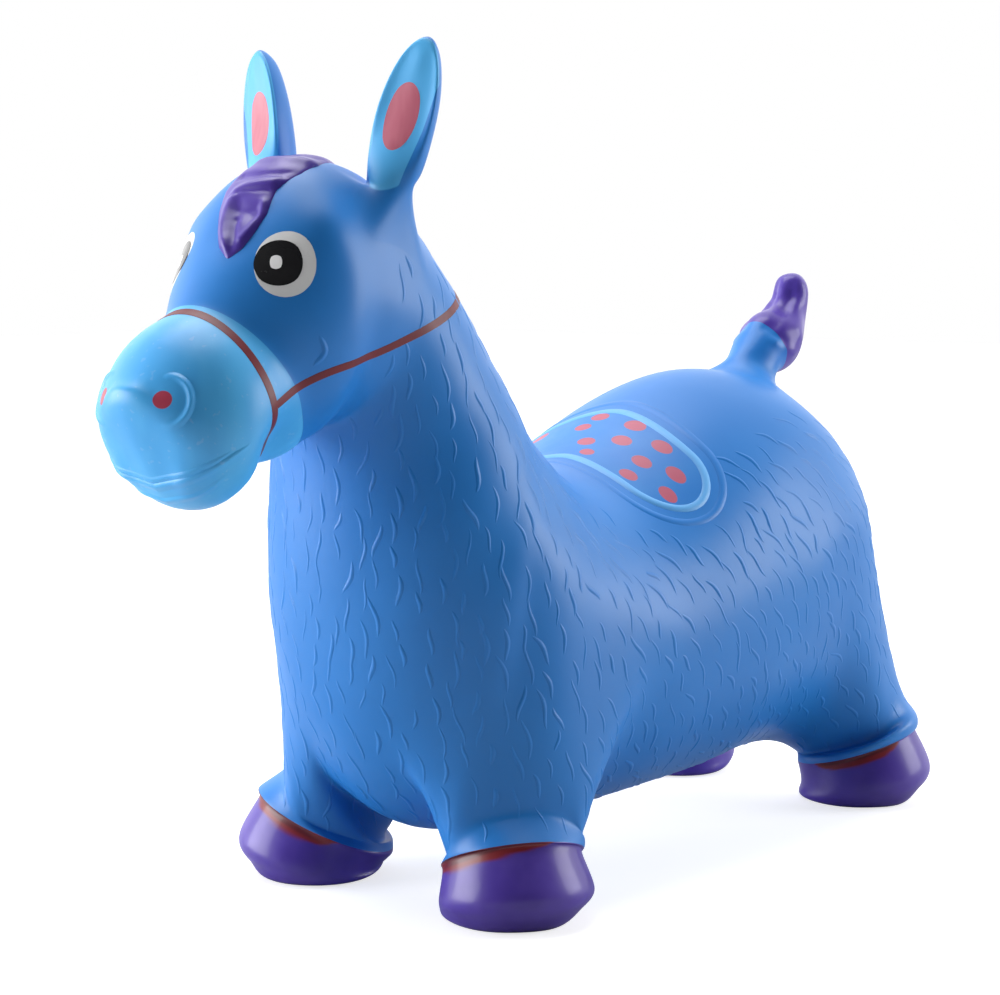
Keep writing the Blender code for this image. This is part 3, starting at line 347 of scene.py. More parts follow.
@dataclass
class Cage:
    """Half of the coarse skin, at X >= 0: corners, four-sided faces and the zone of each face."""

    corners: list[Point] = field(default_factory=list)
    faces: list[tuple[int, ...]] = field(default_factory=list)
    zones: list[str] = field(default_factory=list)
    side_bulge: float = 0.75
    middle_reach: float = 0.0003

    def corner(self, place: Iterable[float]) -> int:
        """Add a corner and return its number."""
        self.corners.append(tuple(place))
        return len(self.corners) - 1

    def face(self, corners: Sequence[int], zone: str) -> None:
        """Add a face from its corners in clockwise order as seen from outside."""
        self.faces.append(tuple(corners)[::-1])
        self.zones.append(zone)

    def join(self, first: Sequence[int], second: Sequence[int], zone_of: Callable[[int], str],
             closed: bool) -> None:
        """Join two rings of corners with faces.

        Args:
            first: Corners of one ring.
            second: Corners of the next.
            zone_of: Gives the zone of each side.
            closed: Whether the rings close on themselves.
        """
        for side in range(len(first) if closed else len(first) - 1):
            after = (side + 1) % len(first)
            self.face((first[side], first[after], second[after], second[side]), zone_of(side))

    def close_half(self, ring: Sequence[int], nose: Point, zone: str, rearwards: bool) -> None:
        """Close a half ring with a grid that bulges to a point.

        Args:
            ring: The half ring, top to underside.
            nose: The point it bulges to.
            zone: Zone of the faces.
            rearwards: Whether it looks towards the tail.
        """
        rows = (len(ring) - 1) // 4
        side = ring[rows:-rows]
        grid: list[list[int]] = [list(ring[:3])]
        top, low = Vector(self.corners[ring[0]]), Vector(self.corners[ring[-1]])
        bulge = Vector(nose) - top.lerp(low, 0.5)
        for row in range(1, 2 * rows):
            fall = row / (2 * rows)
            swell = math.sin(math.pi * fall)
            plane = top.lerp(low, fall)
            middle = plane + bulge * swell
            between = plane.lerp(Vector(self.corners[side[row]]), 0.5) + bulge * swell * self.side_bulge
            grid.append([self.corner((0, middle.y, middle.z)), self.corner(between), side[row]])
        grid.append(list(ring[:-4:-1]))
        for upper, lower in zip(grid, grid[1:]):
            for column in range(2):
                corners = (upper[column], upper[column + 1], lower[column + 1], lower[column])
                self.face(corners[::-1] if rearwards else corners, zone)

    def close_ring(self, ring: Sequence[int], nose: Vector, zone: str) -> None:
        """Close a whole ring with a square grid.

        Args:
            ring: The ring.
            nose: How far the middle of the grid is pushed out.
            zone: Zone of the faces.
        """
        span = len(ring) // 4
        place = self.corners
        rows: list[list[Any]] = [list(ring[:span + 1])]
        rows += [[ring[-row]] + [None] * (span - 1) + [ring[span + row]] for row in range(1, span)]
        rows.append([ring[-span - step] for step in range(span + 1)])
        for row in range(1, span):
            for column in range(1, span):
                across = Vector(place[rows[row][0]]).lerp(Vector(place[rows[row][-1]]), column / span)
                along = Vector(place[rows[0][column]]).lerp(Vector(place[rows[-1][column]]), row / span)
                rows[row][column] = self.corner((across + along) / 2 + nose)
        for upper, lower in zip(rows, rows[1:]):
            for column in range(span):
                self.face((upper[column], upper[column + 1], lower[column + 1], lower[column]), zone)

    def settle(self, rounds: int = 10) -> None:
        """Move the corners until the smooth skin passes through the places that were drawn.

        Args:
            rounds: How often they are moved.
        """
        half = np.array(self.corners)
        count = len(half)
        in_plane = half[:, 0] < self.middle_reach
        half[in_plane, 0] = 0
        partner = np.where(in_plane, np.arange(count), np.arange(count) + count)
        faces = np.array(self.faces)
        both = np.vstack([faces, partner[faces][:, ::-1]])
        valence = np.maximum(np.bincount(both.ravel(), minlength=2 * count), 1)[:, None]
        drawn = half.copy()
        for _ in range(rounds):
            full = np.vstack([half, half * (-1, 1, 1)])
            edges, corners = np.zeros_like(full), np.zeros_like(full)
            for turn in range(4):
                here = both[:, turn]
                np.add.at(edges, here, (full[both[:, turn - 1]] + full[both[:, (turn + 1) % 4]]) / 2)
                np.add.at(corners, here, full[both[:, (turn + 2) % 4]])
            limit = (valence ** 2 * full + 4 * edges + corners) / (valence * (valence + 5))
            half = half + drawn - limit[:count]
            half[in_plane, 0] = 0
        self.corners = [tuple(point) for point in half.tolist()]


@dataclass
class Trunk:
    """Barrel, chest, neck, head and muzzle, drawn as half sections from the rump to the nose."""

    wheelbase: float = 0.390
    back_height: float = 0.310
    belly_clearance: float = 0.040
    barrel_width: float = 0.250
    head_reach: float = 0.220
    poll_height: float = 0.440
    head_width: float = 0.112
    muzzle_width: float = 0.108
    sides: int = 8
    zone_ends: tuple[tuple[int, str], ...] = ((8, "barrel"), (14, "chest"), (16, "neck"), (23, "head"))
    # Each section: place along the horse and height of its top, the same of its underside, and its width.
    barrel_shares: tuple[tuple[float, ...], ...] = (
        (0.970, 0.755, 0.972, 0.300, 0.50), (0.950, 0.850, 0.982, 0.150, 0.71),
        (0.908, 0.925, 0.948, 0.065, 0.83), (0.838, 0.970, 0.880, 0.015, 0.91),
        (0.735, 0.980, 0.780, -0.005, 0.95), (0.605, 0.938, 0.615, -0.018, 0.955),
        (0.477, 0.857, 0.440, -0.025, 0.93), (0.370, 0.788, 0.290, -0.025, 0.90),
        (0.279, 0.785, 0.160, -0.025, 0.88), (0.216, 0.825, 0.031, -0.010, 0.86),
        (0.171, 0.885, -0.075, 0.070, 0.83), (0.133, 0.945, -0.145, 0.220, 0.77),
        (0.112, 1.005, -0.176, 0.405, 0.71), (0.090, 1.060, -0.192, 0.590, 0.645))
    head_shares: tuple[tuple[float, ...], ...] = (
        (-0.120, 0.772, 0.355, 0.550, 1.29), (-0.055, 0.820, 0.366, 0.606, 1.20),
        (0.040, 0.877, 0.380, 0.640, 1.13), (0.145, 0.936, 0.396, 0.650, 1.10),
        (0.282, 0.981, 0.414, 0.648, 1.10), (0.418, 0.995, 0.432, 0.645, 1.10),
        (0.550, 0.972, 0.447, 0.640, 1.12), (0.660, 0.908, 0.464, 0.634, 1.05),
        (0.735, 0.848, 0.486, 0.629, 0.92))
    muzzle_shares: tuple[tuple[float, ...], ...] = (
        (0.782, 0.808, 0.510, 0.620, 0.87), (0.836, 0.792, 0.590, 0.594, 0.94),
        (0.910, 0.766, 0.730, 0.561, 0.95), (0.972, 0.726, 0.870, 0.575, 0.70))

    def half_section(self, top: Point, under: Point, half_width: float) -> list[Vector]:
        """Points of half an oval section.

        Args:
            top: Its top, in the middle plane.
            under: Its underside, in the middle plane.
            half_width: Half its width.

        Returns:
            The points, from the top to the underside.
        """
        middle = (Vector(top) + Vector(under)) / 2
        upright = (Vector(top) - Vector(under)) / 2
        turns = [math.pi * k / self.sides for k in range(self.sides + 1)]
        points = [middle + upright * math.cos(turn) for turn in turns]
        return [Vector((half_width * math.sin(turn), p.y, p.z)) for turn, p in zip(turns, points)]

    def barrel_sections(self) -> list[list[Vector]]:
        """Sections of the barrel and chest.

        Returns:
            The points of each section.
        """
        rise, low, base = self.back_height - self.belly_clearance, self.belly_clearance, self.wheelbase
        return [self.half_section((0, back * base, low + high * rise), (0, belly * base, low + deep * rise),
                                  width * self.barrel_width / 2)
                for back, high, belly, deep, width in self.barrel_shares]

    def head_sections(self, shares: Iterable[tuple[float, ...]], width: float) -> list[list[Vector]]:
        """Sections of the neck and head, or of the muzzle.

        Args:
            shares: The shares of each section.
            width: The width that they share.

        Returns:
            The points of each section.
        """
        reach, poll = self.head_reach, self.poll_height
        return [self.half_section((0, -top * reach, high * poll), (0, -under * reach, low * poll),
                                  wide * width / 2)
                for top, high, under, low, wide in shares]

    def sections(self) -> list[list[Vector]]:
        """All sections from the rump to the nose."""
        found = self.barrel_sections() + self.head_sections(self.head_shares, self.head_width)
        return found + self.head_sections(self.muzzle_shares, self.muzzle_width)

    def zone(self, station: int) -> str:
        """Zone of the skin between one station and the next."""
        return next((zone for last, zone in self.zone_ends if station < last), "muzzle")

    def place(self, across: float, reach: float, rise: float) -> Vector:
        """A place on the head from its shares of half the width, of the reach and of the poll's height."""
        return Vector((across * self.head_width / 2, -reach * self.head_reach, rise * self.poll_height))


@dataclass
class Leg:
    """A leg, its coronet band and its hoof, grown from an opening in the trunk."""

    name: str
    place: float
    heading: float
    inner_height: float
    waist: tuple[float, float, float]
    hem: tuple[float, float, float]
    track: float = 0.165
    width: float = 0.080
    hoof_width: float = 0.090
    outer_height: float = 0.0485
    band: float = 0.004
    step: float = 0.0016
    hem_height: float = 0.010
    waist_rise: float = 0.026
    splay: float = 0.009
    setback: float = 0.0025
    sole_cut: float = 0.0005
    sole_crown: float = 0.0008
    heel_rise: float = 0.015
    heel_power: float = 1.5
    hem_fold: float = 0.5
    waist_fold: float = 0.85
    # Below its widest ring a hoof has a wall, a tread and a core. The heel's shares are those of the
    # widest ring and the wall, and the toe's those of the wall and the tread.
    width_shares: tuple[float, float, float] = (0.93, 0.75, 0.45)
    wall_height_share: float = 0.20
    heel_shares: tuple[float, float] = (0.25, 0.8)
    toe_shares: tuple[float, float] = (0.05, 0.14)
    toe_turn: float = math.radians(-140)

    def top(self, turn: float) -> float:
        """Height of the hoof's top edge at an angle round the leg."""
        slant = (self.outer_height - self.inner_height) / 2
        return (self.outer_height + self.inner_height) / 2 + slant * math.cos(turn - self.heading)

    def fold(self, turn: float, share: float) -> float:
        """1 on the outside of the leg, less by share on its inside."""
        return 1 - share * (1 - math.cos(turn - self.heading)) / 2

    def heel(self, turn: float) -> float:
        """How far the hoof's lower edge is lifted, most at the rear."""
        return self.heel_rise * max(0.0, math.sin(turn)) ** self.heel_power

    def grow(self, cage: Cage, border: Sequence[int]) -> None:
        """Grow the leg from the trunk.

        Args:
            cage: The cage that it joins.
            border: Corners of the opening in the trunk.
        """
        def hem(turn: float) -> float:
            """Height of the hem."""
            return self.top(turn) + self.band + self.hem_height * self.fold(turn, self.hem_fold)

        outwards = Vector((math.cos(self.heading), math.sin(self.heading), 0))
        sidewards = Vector((-math.sin(self.heading), math.cos(self.heading), 0))
        band, hoof = self.width / 2 + self.step, self.hoof_width / 2
        sole = Vector((self.track / 2, self.place, 0))
        top, inset = sole - outwards * self.splay, sole - outwards * self.setback
        leg, coronet, foot = (piece + self.name for piece in ("leg_", "coronet_", "hoof_"))
        wall, tread, core = (hoof * share for share in self.width_shares)
        (wide_heel, wall_heel), (wall_toe, tread_toe) = self.heel_shares, self.toe_shares
        wall_share, tread_height = self.wall_height_share, self.sole_crown - self.sole_cut
        levels = (
            (sole, self.waist, lambda t: hem(t) + self.waist_rise * self.fold(t, self.waist_fold), leg, 0.0),
            (sole, self.hem, hem, leg, 0.0),
            (top, (band,) * 3, lambda t: self.top(t) + self.band, leg, 0.0),
            (top, (band - self.step / 2,) * 3, self.top, coronet, 0.0),
            (sole, (hoof,) * 3, lambda t: self.top(t) / 2 + self.heel(t) * wide_heel, foot, 0.0),
            (inset, (wall,) * 3, lambda t: self.top(t) * wall_share + self.heel(t) * wall_heel,
             foot, wall_toe),
            (inset, (tread,) * 3, lambda t: tread_height + self.heel(t), foot, tread_toe),
            (inset, (core,) * 3, lambda t: -self.sole_cut, foot, 0.0),
        )
        ring = list(border)
        for centre, (outer, side, inner), height, zone, toe in levels:
            after = []
            for j in range(len(border)):
                turn = math.pi / 4 + 2 * math.pi * j / len(border)
                ahead = math.cos(turn - self.heading)
                along = outwards * (ahead * (outer if ahead > 0 else inner))
                across = sidewards * (math.sin(turn - self.heading) * side)
                full = 1 + toe * max(0.0, math.cos(turn - self.toe_turn))
                after.append(cage.corner(centre + (along + across) * full + UP * height(turn)))
            cage.join(ring, after, lambda _, z=zone: z, True)
            ring = after
        cage.close_ring(ring, Vector(), foot)


@dataclass
class Ear:
    """A leaf-shaped ear with a hollow front."""

    root: Vector
    length: float = 0.100
    width: float = 0.0355
    thickness: float = 0.027
    forward: float = 0.005
    lean: float = math.radians(14)
    rake: float = math.radians(7)
    turn: float = math.radians(13)
    first_turn: float = math.radians(135)
    lining_sides: tuple[int, int] = (4, 5)
    # Each ring: place along the ear, width, depth, and how far its front bulges.
    ring_shares: tuple[tuple[float, ...], ...] = (
        (0.14, 0.76, 0.98, 1.0), (0.26, 0.88, 0.92, 0.7), (0.50, 1.00, 0.80, 0.2), (0.74, 0.87, 0.68, 0.15),
        (0.91, 0.52, 0.50, 0.3))

    def directions(self) -> tuple[Vector, Vector, Vector]:
        """The directions of the left ear.

        Returns:
            Its long axis, its outward direction and its forward direction.
        """
        rise = math.cos(self.lean) * math.cos(self.rake)
        axis = Vector((math.sin(self.lean), math.sin(self.rake), rise)).normalized()
        front = Vector((math.sin(self.turn), -math.cos(self.turn), 0))
        front = (front - axis * front.dot(axis)).normalized()
        return axis, axis.cross(front), front

    def zone(self, index: int, side: int) -> str:
        """Zone of one face of the ear.

        Args:
            index: The ring that the face starts from, from 0 at the opening.
            side: Its number round the ear.

        Returns:
            The zone.
        """
        if index == 0:
            return "ear_root"
        return "ear_lining" if side in self.lining_sides and index > 1 else "ear"

    def grow(self, cage: Cage, border: Sequence[int]) -> None:
        """Grow the ear from the head.

        Args:
            cage: The cage that it joins.
            border: Corners of the opening in the head.
        """
        axis, outward, front = self.directions()
        ring = list(border)
        for index, (place, width, depth, hollow) in enumerate(self.ring_shares):
            after = []
            for j in range(len(border)):
                turn = self.first_turn - 2 * math.pi * j / len(border)
                shift = self.forward * min(1, 2 * place)
                reach = self.thickness / 2 + 2 * shift if math.sin(turn) > 0 else self.thickness / 2 * hollow
                across = outward * (math.cos(turn) * width * self.width / 2)
                through = front * (depth * (shift - math.sin(turn) * reach))
                after.append(cage.corner(self.root + axis * (place * self.length) + across + through))
            cage.join(ring, after, lambda side, n=index: self.zone(n, side), True)
            ring = after
        cage.close_ring(ring, axis * (self.length * (1 - self.ring_shares[-1][0])), "ear")


@dataclass
class Tail:
    """The tail's dock and tuft, raised to the rear."""

    root: Vector
    length: float = 0.1035
    rake: float = math.radians(37)
    radius: float = 0.0190
    dock_rings: int = 3
    # Each ring: place along the tail, radius, how far it stands to the rear, and its tilt in radians.
    ring_shares: tuple[tuple[float, ...], ...] = (
        (0.066, 1.16, 0.00, 0.0), (0.208, 0.96, -0.04, 0.10), (0.345, 1.08, 0.10, 0.52),
        (0.528, 1.14, 0.60, 0.48), (0.715, 0.76, 0.72, 0.10), (0.880, 0.66, 0.42, 0.0))

    def axis(self) -> Vector:
        """The tail's long axis."""
        return Vector((0, math.sin(self.rake), math.cos(self.rake)))

    def grow(self, cage: Cage, border: Sequence[int]) -> None:
        """Grow the tail from the rump.

        Args:
            cage: The cage that it joins.
            border: Corners of the half opening in the rump.
        """
        ring = list(border)
        rear, swing = Vector(), 0.0
        for index, (place, width, swing, tilt) in enumerate(self.ring_shares):
            rear = Vector((0, math.cos(self.rake + tilt), -math.sin(self.rake + tilt)))
            centre = self.root + self.axis() * (place * self.length) + rear * (swing * self.radius)
            after = []
            for j in range(len(border)):
                turn = math.pi * j / (len(border) - 1)
                point = centre + rear * (math.cos(turn) * width * self.radius)
                after.append(cage.corner((math.sin(turn) * width * self.radius, point.y, point.z)))
            zone = "tail_dock" if index < self.dock_rings else "tail_tuft"
            cage.join(ring, after, lambda _, z=zone: z, False)
            ring = after
        tip = cage.corner(self.root + self.axis() * self.length + rear * (swing * self.radius))
        cage.face((ring[0], ring[1], ring[2], tip), "tail_tuft")
        cage.face((tip, ring[2], ring[3], ring[4]), "tail_tuft")


@dataclass
class Horse:
    """The whole coarse form."""

    trunk: Trunk = field(default_factory=Trunk)
    heading: float = math.radians(35)
    tail_stations: tuple[int, int] = (1, 3)
    ear_stations: tuple[int, int] = (17, 19)
    leg_stations: tuple[tuple[int, int], ...] = ((8, 11), (1, 4))
    ear_sides: tuple[int, int] = (1, 3)
    leg_sides: tuple[int, int] = (4, 7)
    ear_root_shares: Point = (0.741, 0.3045, 0.918)
    rump_share: float = 0.985
    nose_share: float = 0.684

    def legs(self) -> tuple[Leg, Leg]:
        """The legs of the left side.

        Returns:
            The front and the rear leg.
        """
        front = Leg("front", 0.0, -self.heading, inner_height=0.011, waist=(0.0160, 0.0435, 0.0460),
                    hem=(0.0185, 0.0405, 0.0495))
        rear = Leg("rear", self.trunk.wheelbase, self.heading, inner_height=0.022,
                   waist=(0.0205, 0.0350, 0.0520), hem=(0.0340, 0.0400, 0.0480), splay=0.006)
        return front, rear

    def ear(self) -> Ear:
        """The left ear."""
        return Ear(self.trunk.place(*self.ear_root_shares))

    def tail(self) -> Tail:
        """The tail."""
        return Tail(self.trunk.barrel_sections()[self.tail_stations[0] + 1][0])

    def border(self, rings: list[list[int]], stations: tuple[int, int], sides: tuple[int, int]) -> list[int]:
        """Corners round an opening in the trunk.

        Args:
            rings: Corners of each section.
            stations: The sections that it lies between.
            sides: The sides that it lies between.

        Returns:
            The corners in order.
        """
        (first, last), (low, high) = stations, sides
        steps = [(first, k) for k in range(low, high)] + [(i, high) for i in range(first, last)]
        steps += [(last, k) for k in range(high, low, -1)] + [(i, low) for i in range(last, first, -1)]
        return [rings[i][k] for i, k in steps]

    def cage(self) -> Cage:
        """Draw the form.

        Returns:
            The settled half cage.
        """
        cage, trunk = Cage(), self.trunk
        sections = trunk.sections()
        rings = [[cage.corner(point) for point in section] for section in sections]
        openings = [(self.tail_stations, (0, 1)), (self.ear_stations, self.ear_sides)]
        openings += [(stations, self.leg_sides) for stations in self.leg_stations]
        for station, (ring, after) in enumerate(zip(rings, rings[1:])):
            for side in range(trunk.sides):
                if not any(first <= station < last and low <= side < high
                           for (first, last), (low, high) in openings):
                    corners = (ring[side], ring[side + 1], after[side + 1], after[side])
                    cage.face(corners, trunk.zone(station))
        rump = (0, self.rump_share * trunk.wheelbase, sections[0][trunk.sides // 2].z)
        cage.close_half(rings[0], rump, "barrel", True)
        nose = (0, -trunk.head_reach, self.nose_share * trunk.poll_height)
        cage.close_half(rings[-1], nose, "muzzle", False)
        for leg, stations in zip(self.legs(), self.leg_stations):
            leg.grow(cage, self.border(rings, stations, self.leg_sides))
        self.ear().grow(cage, self.border(rings, self.ear_stations, self.ear_sides))
        first, last = self.tail_stations
        before, between, after = rings[first:last + 1]
        self.tail().grow(cage, [before[0], before[1], between[1], after[1], after[0]])
        cage.settle()
        return cage


# The smooth skin


def unit(vectors: np.ndarray) -> np.ndarray:
    """Vectors drawn to unit length."""
    return vectors / np.maximum(np.linalg.norm(vectors, axis=-1, keepdims=True), TINY)


def smooth_rise(share: Any) -> Any:
    """A smooth rise from 0 to 1 over the share's 0 to 1."""
    share = np.clip(share, 0, 1)
    return share * share * (3 - 2 * share)


def facing_of(points: np.ndarray, quads: np.ndarray) -> np.ndarray:
    """Direction that each point faces, from the quads round it.

    Args:
        points: The points.
        quads: Corners of each quad.

    Returns:
        A unit vector for each point.
    """
    corners = points[quads]
    across = np.cross(corners[:, 2] - corners[:, 0], corners[:, 3] - corners[:, 1])
    total = np.zeros_like(points)
    for turn in range(4):
        np.add.at(total, quads[:, turn], across)
    return unit(total)


@dataclass
class Patch:
    """Points, quads, the direction that each point faces, and named values stored at the points."""

    points: np.ndarray
    quads: np.ndarray
    facing: np.ndarray
    values: dict[str, np.ndarray] = field(default_factory=dict)

    def with_patch(self, other: "Patch") -> "Patch":
        """This patch and another as one."""
        quads = np.vstack([self.quads, other.quads + len(self.points)])
        return Patch(np.vstack([self.points, other.points]), quads, np.vstack([self.facing, other.facing]))

    def mirrored(self) -> "Patch":
        """The patch on the other side of the horse."""
        flip = (-1, 1, 1)
        return Patch(self.points * flip, self.quads[:, ::-1], self.facing * flip, self.values)


@dataclass(frozen=True)
class Swelling:
    """A soft swelling, or a hollow where its height is below 0, round a point or along a line."""

    path: tuple[Point, ...]
    reach: float
    height: float
    both_sides: bool = True

    def rise(self, points: np.ndarray) -> np.ndarray:
        """How far each point is lifted.

        Args:
            points: The points.

        Returns:
            The lift of each.
        """
        lift = np.exp(-(away_from(points, self.path) / self.reach) ** 2)
        if self.both_sides:
            lift = lift + np.exp(-(away_from(points * (-1, 1, 1), self.path) / self.reach) ** 2)
        return lift * self.height


def away_from(points: np.ndarray, path: Sequence[Sequence[float]]) -> np.ndarray:
    """Distance of each point from a line through the path's points.

    Args:
        points: The points.
        path: One or more points.

    Returns:
        The distances.
    """
    knots = np.array(path, float)
    if len(knots) == 1:
        return np.linalg.norm(points - knots[0], axis=1)
    least = np.full(len(points), np.inf)
    for start, end in zip(knots, knots[1:]):
        run = end - start
        share = np.clip(((points - start) @ run) / (run @ run), 0, 1)[:, None]
        least = np.minimum(least, np.linalg.norm(points - start - run * share, axis=1))
    return least


class Skin:
    """The smooth skin of the whole horse and the zone of each of its faces."""

    levels: int = 3
    paired: tuple[str, ...] = ("leg", "coronet", "hoof", "ear")
    rounding: float = 0.75
    search_rounds: int = 4
    outside: float = 0.22

    def __init__(self, cage: Cage, swellings: Sequence[Swelling]) -> None:
        """Mirror and smooth the cage.

        Args:
            cage: The left half of the coarse form.
            swellings: Soft swellings laid on it.
        """
        half = np.array(cage.corners)
        count = len(half)
        partner = np.where(half[:, 0] == 0, np.arange(count), np.arange(count) + count)
        quads = np.array(cage.faces)
        self.names = sorted(set(cage.zones))
        zones = np.array([self.names.index(zone) for zone in cage.zones])
        corners = np.vstack([half, half * (-1, 1, 1)])
        faces = np.vstack([quads, partner[quads][:, ::-1]])
        self.points, self.quads, self.zones = self.smoothed(corners, faces, np.tile(zones, 2))
        self.facing = facing_of(self.points, self.quads)
        for swelling in swellings:
            self.points = self.points + self.facing * swelling.rise(self.points)[:, None]
        self.points[:, 2] = np.maximum(self.points[:, 2], 0)
        self.facing = facing_of(self.points, self.quads)
        self.tree = BVHTree.FromPolygons(self.points.tolist(), self.quads.tolist())

    def smoothed(self, corners: np.ndarray, faces: np.ndarray, zones: np.ndarray) -> tuple[np.ndarray, ...]:
        """Subdivide a coarse mesh.

        Args:
            corners: Its corners.
            faces: Its quads.
            zones: The zone number of each quad.

        Returns:
            Points, quads and zone numbers of the smooth mesh.
        """
        used, faces = np.unique(faces, return_inverse=True)
        faces = faces.reshape(-1, 4)
        mesh = bpy.data.meshes.new("cage")
        mesh.from_pydata(corners[used].tolist(), [], faces.tolist())
        mesh.polygons.foreach_set("material_index", zones.astype(np.int32))
        item = bpy.data.objects.new("cage", mesh)
        bpy.context.scene.collection.objects.link(item)
        smooth = item.modifiers.new("Smooth", "SUBSURF")
        smooth.levels = smooth.render_levels = self.levels
        fine = item.evaluated_get(bpy.context.evaluated_depsgraph_get()).to_mesh()
        points = np.empty(len(fine.vertices) * 3)
        quads = np.empty(len(fine.loops), np.int32)
        found = np.empty(len(fine.polygons), np.int32)
        fine.vertices.foreach_get("co", points)
        fine.loops.foreach_get("vertex_index", quads)
        fine.polygons.foreach_get("material_index", found)
        bpy.data.objects.remove(item)
        bpy.data.meshes.remove(mesh)
        return points.reshape(-1, 3), quads.reshape(-1, 4), found

    def pieces(self) -> dict[str, np.ndarray]:
        """The pieces of the skin, left and right apart where they come in a pair.

        Returns:
            Numbers of the quads of each piece.
        """
        left = self.points[self.quads].mean(axis=1)[:, 0] > 0
        found = {}
        for number, name in enumerate(self.names):
            here = self.zones == number
            if name.startswith(self.paired):
                found[name + "_left"] = np.flatnonzero(here & left)
                found[name + "_right"] = np.flatnonzero(here & ~left)
            else:
                found[name] = np.flatnonzero(here)
        return found

    def patch(self, quads: np.ndarray) -> Patch:
        """The patch that some quads make."""
        used, corners = np.unique(self.quads[quads], return_inverse=True)
        return Patch(self.points[used], corners.reshape(-1, 4), self.facing[used])

    @staticmethod
    def corner_weights(shares: np.ndarray) -> np.ndarray:
        """How much each corner of a quad counts at places given by two shares along its sides."""
        u, v = shares[:, :1], shares[:, 1:]
        return np.stack([(1 - u) * (1 - v), u * (1 - v), u * v, (1 - u) * v], axis=1)

    def settled(self, found: Iterable[tuple[Any, ...]]) -> tuple[np.ndarray, np.ndarray]:
        """Move places from the flat quads onto the rounded skin that they stand for.

        Args:
            found: What the tree found for each place, with the place first and its quad third.

        Returns:
            The places on the rounded skin and the direction that it faces at each.
        """
        hits, _, quads, _ = (np.array(column) for column in zip(*found))
        corners, facing = self.points[self.quads[quads]], self.facing[self.quads[quads]]
        a, b, c, d = (corners[:, turn] for turn in range(4))
        share = np.full((len(hits), 2), 0.5)
        for _ in range(self.search_rounds):
            u, v = share[:, :1], share[:, 1:]
            miss = hits - (corners * self.corner_weights(share)).sum(axis=1)
            along, across = (b - a) * (1 - v) + (c - d) * v, (d - a) * (1 - u) + (c - b) * u
            aa, ab, bb = (along * along).sum(1), (along * across).sum(1), (across * across).sum(1)
            ma, mb = (miss * along).sum(1), (miss * across).sum(1)
            spread = np.maximum(aa * bb - ab * ab, TINY_SQUARE)
            share += np.stack([(ma * bb - mb * ab) / spread, (mb * aa - ma * ab) / spread], axis=1)
            share = np.clip(share, 0, 1)
        weights = self.corner_weights(share)
        away = ((hits[:, None] - corners) * facing).sum(axis=2, keepdims=True)
        rounded = ((hits[:, None] - away * facing) * weights).sum(axis=1)
        return hits * (1 - self.rounding) + rounded * self.rounding, unit((facing * weights).sum(axis=1))

    def struck(self, starts: np.ndarray, directions: np.ndarray) -> tuple[np.ndarray, np.ndarray]:
        """Where rays meet the skin, and the direction that it faces there."""
        ways = np.broadcast_to(directions, starts.shape)
        return self.settled(map(self.tree.ray_cast, starts.tolist(), ways.tolist()))

    def under(self, points: np.ndarray, direction: np.ndarray) -> tuple[np.ndarray, np.ndarray]:
        """Where rays that come from outside through the points meet the skin."""
        return self.struck(points - np.asarray(direction) * self.outside, direction)

    def zone_at(self, place: np.ndarray) -> int:
        """Zone number of the skin nearest to a place."""
        return int(self.zones[self.tree.find_nearest(place.tolist())[2]])

    def near(self, points: np.ndarray) -> tuple[np.ndarray, np.ndarray]:
        """Nearest places on the skin and the directions that it faces there."""
        return self.settled(map(self.tree.find_nearest, points.tolist()))


# Moulded relief


@dataclass(frozen=True)
class Ridge:
    """A raised line on the skin, whose crest lies off its middle and whose head may keep its height."""

    path: tuple[Point, ...]
    half_width: float
    height: float
    crest: float = 0.0
    head: float = 0.0
    step: float = 0.0014
    least_rows: int = 8
    knot_steps: int = 12
    columns: int = 9
    end_share: float = 0.35
    dip: float = 0.00006

    def line(self) -> np.ndarray:
        """The path drawn as a smooth line.

        Returns:
            Evenly spaced points on it.
        """
        knots = np.array(self.path)
        knots = np.vstack([2 * knots[0] - knots[1], knots, 2 * knots[-1] - knots[-2]])
        t = np.linspace(0, 1, self.knot_steps, endpoint=False)[:, None]
        bends = []
        for a, b, c, d in zip(knots, knots[1:], knots[2:], knots[3:]):
            bends.append(((2 * b) + (c - a) * t + (2 * a - 5 * b + 4 * c - d) * t ** 2
                          + (3 * b - a - 3 * c + d) * t ** 3) / 2)
        line = np.vstack(bends + [knots[-2:-1]])
        run = np.r_[0, np.cumsum(np.linalg.norm(np.diff(line, axis=0), axis=1))]
        places = np.linspace(0, run[-1], max(self.least_rows, int(run[-1] / self.step)))
        return np.stack([np.interp(places, run, line[:, axis]) for axis in range(3)], axis=1)

    def lay(self, skin: Skin) -> Patch:
        """The ridge on the skin.

        Args:
            skin: The skin it lies on.

        Returns:
            Its patch, whose edges lie just under the skin.
        """
        line, facing = skin.near(self.line())
        along = unit(np.gradient(line, axis=0))
        side = unit(np.cross(facing, along))
        t = np.linspace(0, 1, len(line))
        taper = np.clip(1 - np.abs(2 * t - 1) ** 3, 0, 1)
        taper = taper + (1 - taper) * self.head * (t < 0.5)
        across = np.linspace(-1, 1, self.columns)
        rising, falling = (across + 1) / (1 + self.crest), (1 - across) / (1 - self.crest)
        crest = smooth_rise(np.where(across < self.crest, rising, falling))
        width = self.end_share + (1 - self.end_share) * taper[:, None]
        spread = (across[None, :] * self.half_width * width)[..., None]
        target = (line[:, None, :] + side[:, None, :] * spread).reshape(-1, 3)
        hit, normal = skin.near(target)
        lift = (crest[None, :] * taper[:, None] * self.height - self.dip).reshape(-1, 1)
        return grid_patch(hit + normal * lift, len(line), self.columns, normal)


